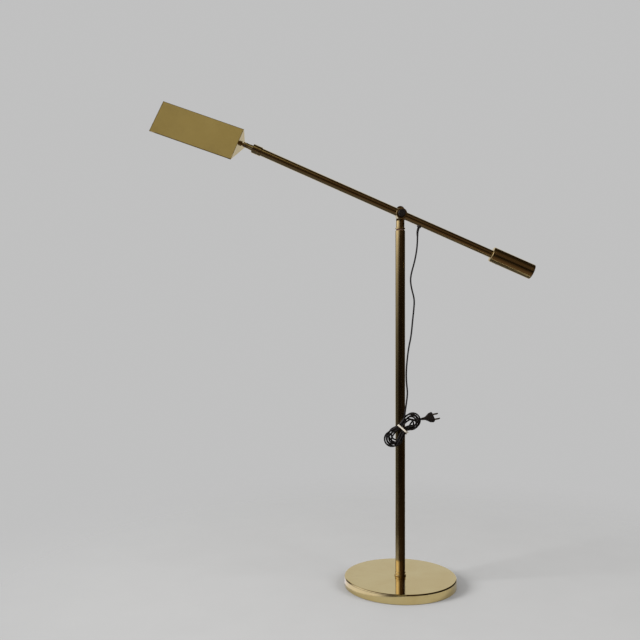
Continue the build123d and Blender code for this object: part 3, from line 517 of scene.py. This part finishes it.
# The whole route: from the bushing to the hank, round it, and out along the plug's direction.
# The plug's blades lie apart along BLADE_DIR, square to the plug
HANK_ENTRY = PIVOT + at(9.5, -5.6, -437)
PLUG_DIR = Vector((0.89, 0.44, 0.09)).normalized()
BLADE_AIM = Vector((0.318, -0.476, -0.82)).normalized()
BLADE_DIR = (BLADE_AIM - PLUG_DIR * BLADE_AIM.dot(PLUG_DIR)).normalized()
hank_points, tail_depth = hank_controls()
CORD_END = hank_point(50, -10.6, -12.5) + at(0.4, 0, -4.6)
PLUG_START = CORD_END + PLUG_DIR * CORD_DIAMETER
cord_points = [
    BUSHING_INSIDE,
    BUSHING_MOUTH - ARM_UP * STRAIGHT_OUT * MM,
    PIVOT + at(37.0, -0.2, -53),
    PIVOT + at(35.6, -0.4, -79),
    PIVOT + at(30.4, -0.7, -107),
    PIVOT + at(21.8, -1.0, -137),
    PIVOT + at(20.8, -1.3, -154),
    PIVOT + at(24.2, -1.6, -172),
    PIVOT + at(29.8, -1.9, -193),
    PIVOT + at(28.3, -2.2, -215),
    PIVOT + at(25.2, -2.5, -243),
    PIVOT + at(22.4, -2.9, -274),
    PIVOT + at(16.6, -3.3, -301),
    PIVOT + at(13.2, -3.7, -327),
    PIVOT + at(10.8, -4.1, -357),
    PIVOT + at(11.6, -4.5, -382),
    PIVOT + at(14.0, -4.9, -402),
    PIVOT + at(11.7, -5.3, -423),
    HANK_ENTRY,
    hank_point(28.4, 24.8, HANK_HALF_DEPTH),
    hank_point(21.7, 18.8, HANK_HALF_DEPTH),
    hank_point(14.8, 12.5, HANK_HALF_DEPTH),
    *hank_points,
    hank_point(0, -12.2, tail_depth - 0.9),
    hank_point(8, -9.8, tail_depth - 2.8),
    hank_point(16, -7.0, tail_depth - 4.8),
    hank_point(25, -4.6, tail_depth - 6.0),
    hank_point(34, -4.4, tail_depth - 6.4),
    hank_point(42, -8.6, tail_depth - 6.4),
    CORD_END - PLUG_DIR * CORD_DIAMETER,
    PLUG_START,
]
SPLINE_STEPS = 6
QUADRATIC_ORDER = 3


def spline_points(name, controls):
    """The points of the smooth spline that has these control points, as the curve gives them."""
    curve = bpy.data.curves.new(name, "CURVE")
    curve.dimensions = "3D"
    curve.resolution_u = SPLINE_STEPS
    spline = curve.splines.new("NURBS")
    spline.points.add(len(controls) - 1)
    for point, control in zip(spline.points, controls):
        point.co = (*control, 1.0)
    spline.order_u = QUADRATIC_ORDER
    spline.use_endpoint_u = True
    obj = bpy.data.objects.new(name, curve)
    scene.collection.objects.link(obj)
    mesh = bpy.data.meshes.new_from_object(obj)
    points = [v.co.copy() for v in mesh.vertices]
    bpy.data.objects.remove(obj)
    bpy.data.meshes.remove(mesh)
    return points


# The cord is cut in two at this height in metres, where it hangs beside the pole
CUT_HEIGHT = 0.70
cord_path = spline_points("cord_route", cord_points)
cut = next(i for i, point in enumerate(cord_path) if point.z < CUT_HEIGHT)
upper_path, lower_path = cord_path[: cut + 1], cord_path[cut:]
upper_cord = tube("cord_upper", upper_path, CORD_RADIUS, CORD_SKIN, CORD_SIDES)
lower_cord = tube("cord_lower", lower_path, CORD_RADIUS, CORD_SKIN, CORD_SIDES)
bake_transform(upper_cord)
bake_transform(lower_cord)
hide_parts("cord_free", "cord_hank")


# Strain relief: a ribbed sleeve that tapers down the cord where it leaves the bushing. A rib has
# risen at one share of its length, and it falls and ends at two more, counted from its far end
MOUTH_ALONG = MOUTH_BELOW - CORD_STARTS_BELOW
RELIEF_HIDDEN = 0.5
RELIEF_SIDES = 20
RIB_RISES = 0.15
RIB_FALLS = 0.45
RIB_ENDS = 0.3


def sleeve(name, path, stations, material):
    """A turned skin along a path: (distance in millimetres, radius in millimetres) stations."""
    frames = carried_frames(path)
    travelled = [0.0]
    for a, b in zip(path, path[1:]):
        travelled.append(travelled[-1] + (b - a).length / MM)
    rings = []
    for distance, radius in stations:
        i = next(k for k in range(1, len(path)) if travelled[k] >= distance)
        share = (distance - travelled[i - 1]) / (travelled[i] - travelled[i - 1])
        centre = path[i - 1].lerp(path[i], share)
        rings.append(round_ring(centre, frames[i], radius * MM, RELIEF_SIDES))
    return rings_mesh(name, rings, material)


def relief_stations(start, ribs, rib_length, first_radius, last_radius, groove):
    """Ribs one after another, on a radius that changes evenly from the first to the last."""
    stations = []
    for rib in range(ribs):
        low, high = start + rib * rib_length, start + (rib + 1) * rib_length
        radius = first_radius + (last_radius - first_radius) * rib / (ribs - 1)
        stations += [
            (low, radius - groove),
            (low + RIB_RISES * rib_length, radius),
            (high - RIB_FALLS * rib_length, radius),
            (high - RIB_ENDS * rib_length, radius - groove),
        ]
    return stations


bushing_ribs = relief_stations(
    start=MOUTH_ALONG - RELIEF_HIDDEN, ribs=8, rib_length=2.7, first_radius=3.0, last_radius=2.25,
    groove=0.3,
)
relief = sleeve("cord_relief", upper_path, bushing_ribs, CORD_SKIN)
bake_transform(relief)


# Plug: a moulded body that swells from its ribbed strain relief, with two drilled blades
PLUG_SIDE = PLUG_DIR.cross(BLADE_DIR)
PLUG_LENGTH = 26.0
PLUG_SIDES = 40
ROUND = 2

# Its sections: distance, half width, half thickness and squareness
PLUG_NECK = (-7.0, 1.9, 1.9, ROUND)
PLUG_SWELL = (
    (5.6, 3.9, 3.8, 2.1), (7.5, 4.7, 4.2, 2.3), (10.0, 6.1, 4.8, 2.5), (12.5, 7.6, 5.4, 2.8),
    (15.0, 9.1, 5.9, 3.1), (17.0, 10.2, 6.2, 3.3),
)
PLUG_FACE = (
    (24.2, 11.9, 6.5, 3.8), (25.2, 11.9, 6.5, 3.8), (25.8, 11.6, 6.2, 3.8),
    (PLUG_LENGTH, 11.0, 5.6, 3.8),
)

# Its grip: grooves one after another, on a body that still widens, each with sections that have
# a distance into the groove, what they add to the half width, and a half thickness
GRIP_GROOVES = 3
GRIP_START = 18.0
GRIP_STEP = 2.0
GRIP_WIDTH = 10.8
GRIP_WIDENS = 0.35
GRIP_SQUARENESS = 3.5
GROOVE_SECTIONS = ((0.0, 0.0, 6.4), (0.4, -0.6, 5.9), (0.9, -0.6, 5.9), (1.3, 0.15, 6.4))


def plug_ring(distance, width, thickness, squareness):
    """A rounded section of the plug: half width and half thickness, and how square it is."""
    ring = []
    for j in range(PLUG_SIDES):
        turn = 2 * pi * j / PLUG_SIDES
        x = abs(cos(turn)) ** (2 / squareness) * (1 if cos(turn) >= 0 else -1)
        y = abs(sin(turn)) ** (2 / squareness) * (1 if sin(turn) >= 0 else -1)
        offset = PLUG_DIR * distance + BLADE_DIR * x * width + PLUG_SIDE * y * thickness
        ring.append(PLUG_START + offset * MM)
    return ring


def plug_rings():
    """The plug's sections, from the end of its strain relief to its face."""
    rings = [plug_ring(*PLUG_NECK)]
    ribs = relief_stations(
        start=-6.6, ribs=5, rib_length=2.4, first_radius=2.5, last_radius=3.6, groove=0.45
    )
    rings += [plug_ring(distance, radius, radius, ROUND) for distance, radius in ribs]
    rings += [plug_ring(*section) for section in PLUG_SWELL]
    for groove in range(GRIP_GROOVES):
        place = GRIP_START + GRIP_STEP * groove
        width = GRIP_WIDTH + GRIP_WIDENS * groove
        for along, wider, thickness in GROOVE_SECTIONS:
            rings.append(plug_ring(place + along, width + wider, thickness, GRIP_SQUARENESS))
    rings += [plug_ring(*section) for section in PLUG_FACE]
    return rings


plug_moulding = rings_mesh("plug_moulding", plug_rings(), PLUG_SKIN)
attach(plug_moulding, "stand")
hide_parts("plug_body")

# Its blades, each with a drilled hole and a round end: distances from the tip, and half widths
BLADE_SPACING = 12.7
BLADE_WIDTH = 6.35
BLADE_LENGTH = 17.5
BLADE_THICKNESS = 1.5
BLADE_EDGE = 0.2
BLADE_HALF = BLADE_WIDTH / 2 - BLADE_EDGE
BLADE_TIP = ((2.0, BLADE_HALF), (0.6, BLADE_HALF - 1.0), (0.2, 0.8))
HOLE_PLACE = 12.0
HOLE_RADIUS = 1.6
HOLE_SIDES = 16


def blade_mesh(name, offset):
    """A flat blade with a round end and a hole, thick across the plug's width."""
    curve = bpy.data.curves.new(name, "CURVE")
    curve.dimensions = "2D"
    curve.fill_mode = "BOTH"
    curve.extrude = (BLADE_THICKNESS / 2 - BLADE_EDGE) * MM
    curve.bevel_depth = BLADE_EDGE * MM
    outline = [(-BLADE_WIDTH, -BLADE_HALF)]
    outline += [(BLADE_LENGTH - back, -half) for back, half in BLADE_TIP]
    outline += [(x, -y) for x, y in reversed(outline)]
    turns = [2 * pi * j / HOLE_SIDES for j in range(HOLE_SIDES)]
    hole = [(HOLE_PLACE + HOLE_RADIUS * cos(t), HOLE_RADIUS * sin(t)) for t in turns]
    for loop in (outline, hole):
        spline = curve.splines.new("POLY")
        spline.points.add(len(loop) - 1)
        spline.use_cyclic_u = True
        for point, (x, y) in zip(spline.points, loop):
            point.co = (x * MM, y * MM, 0, 1)
    obj = bpy.data.objects.new(name + "_outline", curve)
    scene.collection.objects.link(obj)
    mesh = bpy.data.meshes.new_from_object(obj)
    bpy.data.objects.remove(obj)
    origin = PLUG_START + (PLUG_DIR * PLUG_LENGTH + BLADE_DIR * offset) * MM
    for vertex in mesh.vertices:
        x, y, z = vertex.co
        vertex.co = origin + PLUG_DIR * x + PLUG_SIDE * y + BLADE_DIR * z
    blade = bpy.data.objects.new(name, mesh)
    scene.collection.objects.link(blade)
    mesh.materials.clear()
    mesh.materials.append(BLADE_BRASS)
    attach(blade, "stand")
    return blade


left_blade = blade_mesh("plug_blade_left", -BLADE_SPACING / 2)
right_blade = blade_mesh("plug_blade_right", BLADE_SPACING / 2)
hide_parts("plug_blades")


# Tie: a paper strip drawn tight round the hank's waist, in front of the pole. Its line has a point
# about every TIE_STEP, and it wanders to the side by waves that each have a size and a count
POLE_RADIUS = 11.1
POLE_GAP = 0.03
TIE_WIDTH = 3.8
TIE_THICKNESS = 0.3
TIE_STEP = 0.8
TIE_SLANT = -0.15
TIE_WAVES = ((0.3, 2), (0.12, 11))
WAIST_CORDS = (
    (12.3, HANK_HALF_DEPTH), (-7.3, HANK_HALF_DEPTH), (10.0, -HANK_HALF_DEPTH), (-12.2, -7.2)
)
WAIST_SIDES = 32


def turn_of(a, b, c):
    """Positive where the line from a through b to c turns left."""
    return (b[0] - a[0]) * (c[1] - a[1]) - (b[1] - a[1]) * (c[0] - a[0])


def hull_of(dots):
    """The tight line round a set of dots."""
    hull = []
    dots = sorted(dots)
    for row in (dots, dots[::-1]):
        chain = []
        for dot in row:
            while len(chain) > 1 and turn_of(chain[-2], chain[-1], dot) <= 0:
                chain.pop()
            chain.append(dot)
        hull += chain[:-1]
    return hull


def clear_of_pole(across, front):
    """How far forward a line behind the hank lies, so that it stays in front of the pole."""
    sideways = (HANK_CENTRE.x - sin(HANK_TILT) * across * MM) / MM
    if abs(sideways) >= POLE_RADIUS:
        return front
    surface = sqrt(POLE_RADIUS**2 - sideways**2) + HANK_CENTRE.y / MM
    return max(front, surface + TIE_THICKNESS / 2 + POLE_GAP)


def tie_outline():
    """The tie's line round the outer cords of the waist, in (across, front) millimetres."""
    reach = CORD_RADIUS / MM + TIE_THICKNESS / 2
    turns = [2 * pi * j / WAIST_SIDES for j in range(WAIST_SIDES)]
    dots = [(a + reach * cos(t), f + reach * sin(t)) for a, f in WAIST_CORDS for t in turns]
    hull = hull_of(dots)
    line = []
    for (a, f), (next_a, next_f) in zip(hull, hull[1:] + hull[:1]):
        steps = max(1, round(hypot(next_a - a, next_f - f) / TIE_STEP))
        line += [(a + (next_a - a) * k / steps, f + (next_f - f) * k / steps) for k in range(steps)]
    return [(a, clear_of_pole(a, f)) for a, f in line]


def strip_section(centre, wide, thick, width):
    """A section of the paper with soft edges: its centre, its two directions and its width."""
    half, edge = width / 2, TIE_THICKNESS / 2
    corners = [
        (-half, 0), (-half + edge, edge), (0, edge), (half - edge, edge),
        (half, 0), (half - edge, -edge), (0, -edge), (-half + edge, -edge),
    ]
    return [centre + (wide * x + thick * y) * MM for x, y in corners]


def tie_rings():
    """The tie's sections, all the way round the waist."""
    outline = tie_outline()
    count = len(outline)
    rings = []
    for k, (across, front) in enumerate(outline):
        before, after = outline[k - 1], outline[(k + 1) % count]
        line = Vector((after[0] - before[0], after[1] - before[1])).normalized()
        outward = HANK_ACROSS * line.y - HANK_FRONT * line.x
        wander = sum(size * sin(2 * pi * waves * k / count) for size, waves in TIE_WAVES)
        centre = hank_point(wander + TIE_SLANT * across, across, front)
        rings.append(strip_section(centre, HANK_ALONG, outward, TIE_WIDTH))
    return rings


tie_band = rings_mesh("tie_band", tie_rings(), TIE_PAPER, closed=True)
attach(tie_band, "stand")
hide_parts("cord_tie")

# Its ends leave the lower side of the waist, twist round each other and spread
TWIST_ACROSS = -14.0
TWIST_FRONT = -7.6
TWIST_START = hank_point(TIE_SLANT * TWIST_ACROSS, TWIST_ACROSS, TWIST_FRONT)
TWIST_DIR = Vector((0.12, 0.95, -0.28)).normalized()
TWIST_SIDE = TWIST_DIR.cross(HANK_ALONG).normalized()
TWIST_FACE = TWIST_DIR.cross(TWIST_SIDE)
TWIST_LENGTH = 7.0
TWIST_TURNS = 1.75
TWISTED_SHARE = 0.6
TAIL_LENGTH = 6.0
TAIL_STEPS = 36
TAIL_APART = 0.25
TAIL_SPREADS = 3.5
TAIL_WIDTH = 1.8
TAIL_WIDENS = 1.6


def tail_rings(side):
    """Sections of one end of the tie, which lies on one side of the twist and then spreads."""
    rings = []
    for step in range(TAIL_STEPS + 1):
        share = step / TAIL_STEPS
        twisted = min(1.0, share / TWISTED_SHARE)
        free = max(0.0, share - TWISTED_SHARE) / (1 - TWISTED_SHARE)
        turn = 2 * pi * TWIST_TURNS * twisted + pi / 2
        wide = TWIST_SIDE * cos(turn) + TWIST_FACE * sin(turn)
        thick = TWIST_FACE * cos(turn) - TWIST_SIDE * sin(turn)
        spread = thick * side * (TAIL_APART + TAIL_SPREADS * free * free)
        down = TWIST_DIR * (TWIST_LENGTH * twisted + TAIL_LENGTH * free)
        centre = TWIST_START + (down + spread) * MM
        rings.append(strip_section(centre, wide, thick, TAIL_WIDTH + TAIL_WIDENS * free))
    return rings


for number, side in enumerate((1, -1)):
    tail = rings_mesh("tie_tail_" + str(number), tail_rings(side), TIE_PAPER)
    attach(tail, "stand")


# Shade: hems rolled along its two lower edges, and a seam of solder round each end. A seam's
# points lie at these shares of the way from the fold to a lower edge
SHADE_RIDGE = 33.8
SHADE_BASE = -23.9
SHADE_HALF = 57.7
SHADE_LENGTH = 193.0
HEM_RADIUS = 0.9 * MM
HEM_INSET = 0.7
HEM_RAISED = 0.4
HEM_SPANS = 12
HEM_SIDES = 12
SEAM_RADIUS = 0.55 * MM
SEAM_INSET = 0.5
SEAM_SHARES = (0.985, 0.8, 0.6, 0.4, 0.2, 0.05, 0.02)
SEAM_SIDES = 10


def shade_point(distance, across, up):
    """A point of the shade in millimetres: along it, to its side, and towards its ridge."""
    return SHADE_ORIGIN + (SHADE_DIR * distance + NECK_CROSS * across + SHADE_UP * up) * MM


def on_shade(piece):
    """Make a piece move with the shade."""
    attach(piece, "shade")


def hem_path(side):
    """The line of one lower edge, from the knuckle's end of the shade to the other."""
    across, up = side * (SHADE_HALF - HEM_INSET), SHADE_BASE + HEM_RAISED
    return [shade_point(SHADE_LENGTH * k / HEM_SPANS, across, up) for k in range(HEM_SPANS + 1)]


def seam_path(distance):
    """The outline of one end of the shade, up one panel, over the fold and down the other."""
    rise = SHADE_RIDGE - SHADE_BASE
    points = []
    for side in (-1, 1):
        leg = [
            shade_point(distance, side * SHADE_HALF * share, SHADE_BASE + rise * (1 - share))
            for share in SEAM_SHARES
        ]
        points += leg if side < 0 else leg[::-1]
    return points


for side, label in ((-1, "front"), (1, "back")):
    on_shade(tube("shade_hem_" + label, hem_path(side), HEM_RADIUS, SHADE_BRASS, HEM_SIDES))
for distance, label in ((SEAM_INSET, "near"), (SHADE_LENGTH - SEAM_INSET, "far")):
    on_shade(tube("shade_seam_" + label, seam_path(distance), SEAM_RADIUS, SHADE_BRASS, SEAM_SIDES))


# Floor: it meets the backdrop without a line, and metal sees only the part near the lamp
FLOOR_RADIUS = 4.0
FLOOR_SIDES = 96
FLOOR_TONE = 0.57
FLOOR_MOTTLE = 0.008
FLOOR_NOISE = (7.0, 4.0)
FLOOR_STOPS = (0.3, 0.7)
FLOOR_ROUGHNESS = 0.85
FLOOR_SHEEN = 0.1
FLOOR_SEEN = (0.35, 1.3)
FLOOR_MIRRORED = (0.15, 0.16)
FLOOR_MIRRORED_CENTRE = (0.02, -0.028, 0)


def floor_paint():
    """Matt pale paint that fades out far away, and nearer for what metal mirrors."""
    material, tree, shader, coords = new_material("floor_paint")
    tones = (grey(FLOOR_TONE - FLOOR_MOTTLE), grey(FLOOR_TONE + FLOOR_MOTTLE))
    mottle = ramp(tree, noise(tree, coords, *FLOOR_NOISE), *zip(FLOOR_STOPS, tones))
    tree.links.new(mottle, shader.inputs["Base Color"])
    shader.inputs["Roughness"].default_value = FLOOR_ROUGHNESS
    shader.inputs["Specular IOR Level"].default_value = FLOOR_SHEEN
    path = tree.nodes.new("ShaderNodeLightPath")
    faded = rising(tree, vector_sums(tree, "LENGTH", coords), *FLOOR_SEEN)
    far = sums(tree, "MULTIPLY", faded, path.outputs["Is Camera Ray"])
    apart = vector_sums(tree, "DISTANCE", coords, FLOOR_MIRRORED_CENTRE)
    hidden = rising(tree, apart, *FLOOR_MIRRORED)
    glossy = sums(tree, "MULTIPLY", hidden, path.outputs["Is Glossy Ray"])
    clear = tree.nodes.new("ShaderNodeBsdfTransparent")
    share = sums(tree, "MAXIMUM", far, glossy)
    surface = mixed_shaders(tree, share, shader.outputs[0], clear.outputs[0])
    tree.links.new(surface, tree.nodes["Material Output"].inputs["Surface"])
    return material


bpy.ops.mesh.primitive_circle_add(vertices=FLOOR_SIDES, radius=FLOOR_RADIUS, fill_type="NGON")
floor = bpy.context.object
floor.name = "floor"
floor.data.materials.append(floor_paint())


# World: even light, a pale backdrop, and the room that the brass mirrors
def azimuths(low, high):
    """Two azimuths given in degrees."""
    return radians(low), radians(high)


def heights(low, high):
    """Two elevations given in degrees, as heights from -1 to 1."""
    return sin(radians(low)), sin(radians(high))


EVEN_LIGHT = 0.41
EVEN_COLOUR = (1, 0.99, 0.97, 1)
BACKDROP = (0.53, 0.53, 0.53, 1)

# The wall behind the lamp: its colours by height, where it starts on each side, and its top
WALL = (0.6, 0.6, 0.585)
WALL_LOW = (0.13, 0.1, 0.08)
WALL_DARKENS = (-0.6, -0.2)
WALL_STARTS = azimuths(144, 154)
WALL_TOP = heights(50, 62)

# The dark room in front of the lamp, by (height, brightness), with its darker right side
ROOM_FRONT = (0.055, 0.036, 0.026)
ROOM_RIGHT = (0.014, 0.009, 0.005, 1)
FRONT_STARTS = azimuths(-70, -25)
FRONT_LEVELS = (
    (-1.0, 2.2), (-0.75, 1.7), (-0.5, 0.9), (-0.3, 0.5), (-0.2, 0.15), (0.0, 0.15), (0.09, 0.4),
    (0.14, 0.75), (0.2, 1.0), (0.8, 1.0), (1.0, 0.4),
)
CEILING = (0.39, 0.365, 0.25, 1)
CEILING_DIR = Vector((-0.04, -0.68, 0.735)).normalized()
CEILING_EDGE = (cos(radians(15)), cos(radians(10)))

# The window on the left, by (height, brightness). Above one height it starts nearer to the front,
# and below another one it reaches further at both of its edges
WINDOW = (0.95, 0.95, 1.12)
WINDOW_LEVELS = (
    (-0.5, 0.08), (-0.4, 0.9), (-0.32, 0.9), (-0.295, 0.25), (-0.27, 0.08), (-0.1, 0.06),
    (-0.065, 0.08), (-0.0125, 0.17), (0.0375, 0.34), (0.09, 0.6), (0.125, 1.1), (0.15, 1.15),
)
WINDOW_STARTS = azimuths(26, 100)
WINDOW_LOW_STARTS = azimuths(20, 60)
WINDOW_ENDS = azimuths(116, 130)
WINDOW_TOP = heights(38, 50)
NEARER_ABOVE = (0.095, 0.12)
NEARER_BY = radians(22)
LOW_PART = (-0.31, -0.29)


def by_height(tree, height, colour, levels):
    """A colour by height, with its brightness at each of some heights from -1 to 1."""
    stops = [((1 + level) / 2, tuple(share * c for c in colour)) for level, share in levels]
    return ramp(tree, height, *stops)


def window_opening(tree, azimuth, z):
    """1 where the window is and 0 elsewhere. Its low part ends a radian further on."""
    nearer = rising(tree, z, *NEARER_ABOVE, 0.0, NEARER_BY)
    low = falling(tree, z, *LOW_PART)
    inner = rising(tree, sums(tree, "ADD", azimuth, nearer), *WINDOW_STARTS)
    inner = mixed(tree, low, inner, rising(tree, azimuth, *WINDOW_LOW_STARTS))
    outer = falling(tree, sums(tree, "SUBTRACT", azimuth, low), *WINDOW_ENDS)
    opening = sums(tree, "MULTIPLY", inner, outer)
    return sums(tree, "MULTIPLY", opening, falling(tree, z, *WINDOW_TOP))


def room_colours(tree, direction):
    """The room. Azimuth 0 is its dark side in front, the window is on the left of that."""
    x, y, z = placed(tree, "ShaderNodeSeparateXYZ", vector=direction).outputs
    azimuth = sums(tree, "ARCTAN2", sums(tree, "MULTIPLY", x, -1), sums(tree, "MULTIPLY", y, -1))
    height = rising(tree, z, -1, 1, kind="LINEAR")
    front = by_height(tree, height, ROOM_FRONT, FRONT_LEVELS)
    room = mixed(tree, rising(tree, azimuth, *FRONT_STARTS), ROOM_RIGHT, front)
    towards = vector_sums(tree, "DOT_PRODUCT", direction, CEILING_DIR)
    room = mixed(tree, rising(tree, towards, *CEILING_EDGE), room, CEILING)
    behind = rising(tree, sums(tree, "ABSOLUTE", azimuth), *WALL_STARTS)
    below_top = falling(tree, z, *WALL_TOP)
    wall = ramp(tree, rising(tree, z, *WALL_DARKENS, kind="LINEAR"), (0.0, WALL_LOW), (1.0, WALL))
    room = mixed(tree, sums(tree, "MULTIPLY", behind, below_top), room, wall)
    pane = by_height(tree, height, WINDOW, WINDOW_LEVELS)
    return mixed(tree, window_opening(tree, azimuth, z), room, pane)


def background(tree, colour, strength=1.0):
    """A background shader of a colour, at a strength."""
    return placed(tree, "ShaderNodeBackground", color=colour, strength=strength).outputs[0]


def build_world(tree):
    """Mirrored rays see the room, the camera sees the backdrop, and all else the even light."""
    tree.nodes.clear()
    output = tree.nodes.new("ShaderNodeOutputWorld")
    path = tree.nodes.new("ShaderNodeLightPath")
    direction = tree.nodes.new("ShaderNodeTexCoord").outputs["Generated"]
    room = background(tree, room_colours(tree, direction))
    even = background(tree, EVEN_COLOUR, EVEN_LIGHT)
    lighting = mixed_shaders(tree, path.outputs["Is Glossy Ray"], even, room)
    seen = sums(tree, "MAXIMUM", path.outputs["Is Camera Ray"], path.outputs["Is Transmission Ray"])
    surface = mixed_shaders(tree, seen, lighting, background(tree, BACKDROP))
    tree.links.new(surface, output.inputs["Surface"])


world = bpy.data.worlds.new("studio")
scene.world = world
world.use_nodes = True
build_world(world.node_tree)


# Two soft lamps: places, targets and sizes in metres, and power in watts
def area_light(name, place, target, size, watts):
    """A soft square lamp that looks at a point, and that metal doesn't mirror."""
    light = bpy.data.lights.new(name, "AREA")
    light.size = size
    light.energy = watts
    obj = bpy.data.objects.new(name, light)
    obj.location = place
    obj.rotation_euler = (Vector(target) - Vector(place)).to_track_quat("-Z", "Y").to_euler()
    obj.visible_glossy = False
    scene.collection.objects.link(obj)


area_light("key_light", place=(-5.2, -2.0, 2.8), target=(0, 0, 0.2), size=2.4, watts=330)
area_light("fill_light", place=(4.0, -2.4, 3.2), target=(0, 0, 0.4), size=3.2, watts=120)

scene.view_settings.view_transform = "Standard"
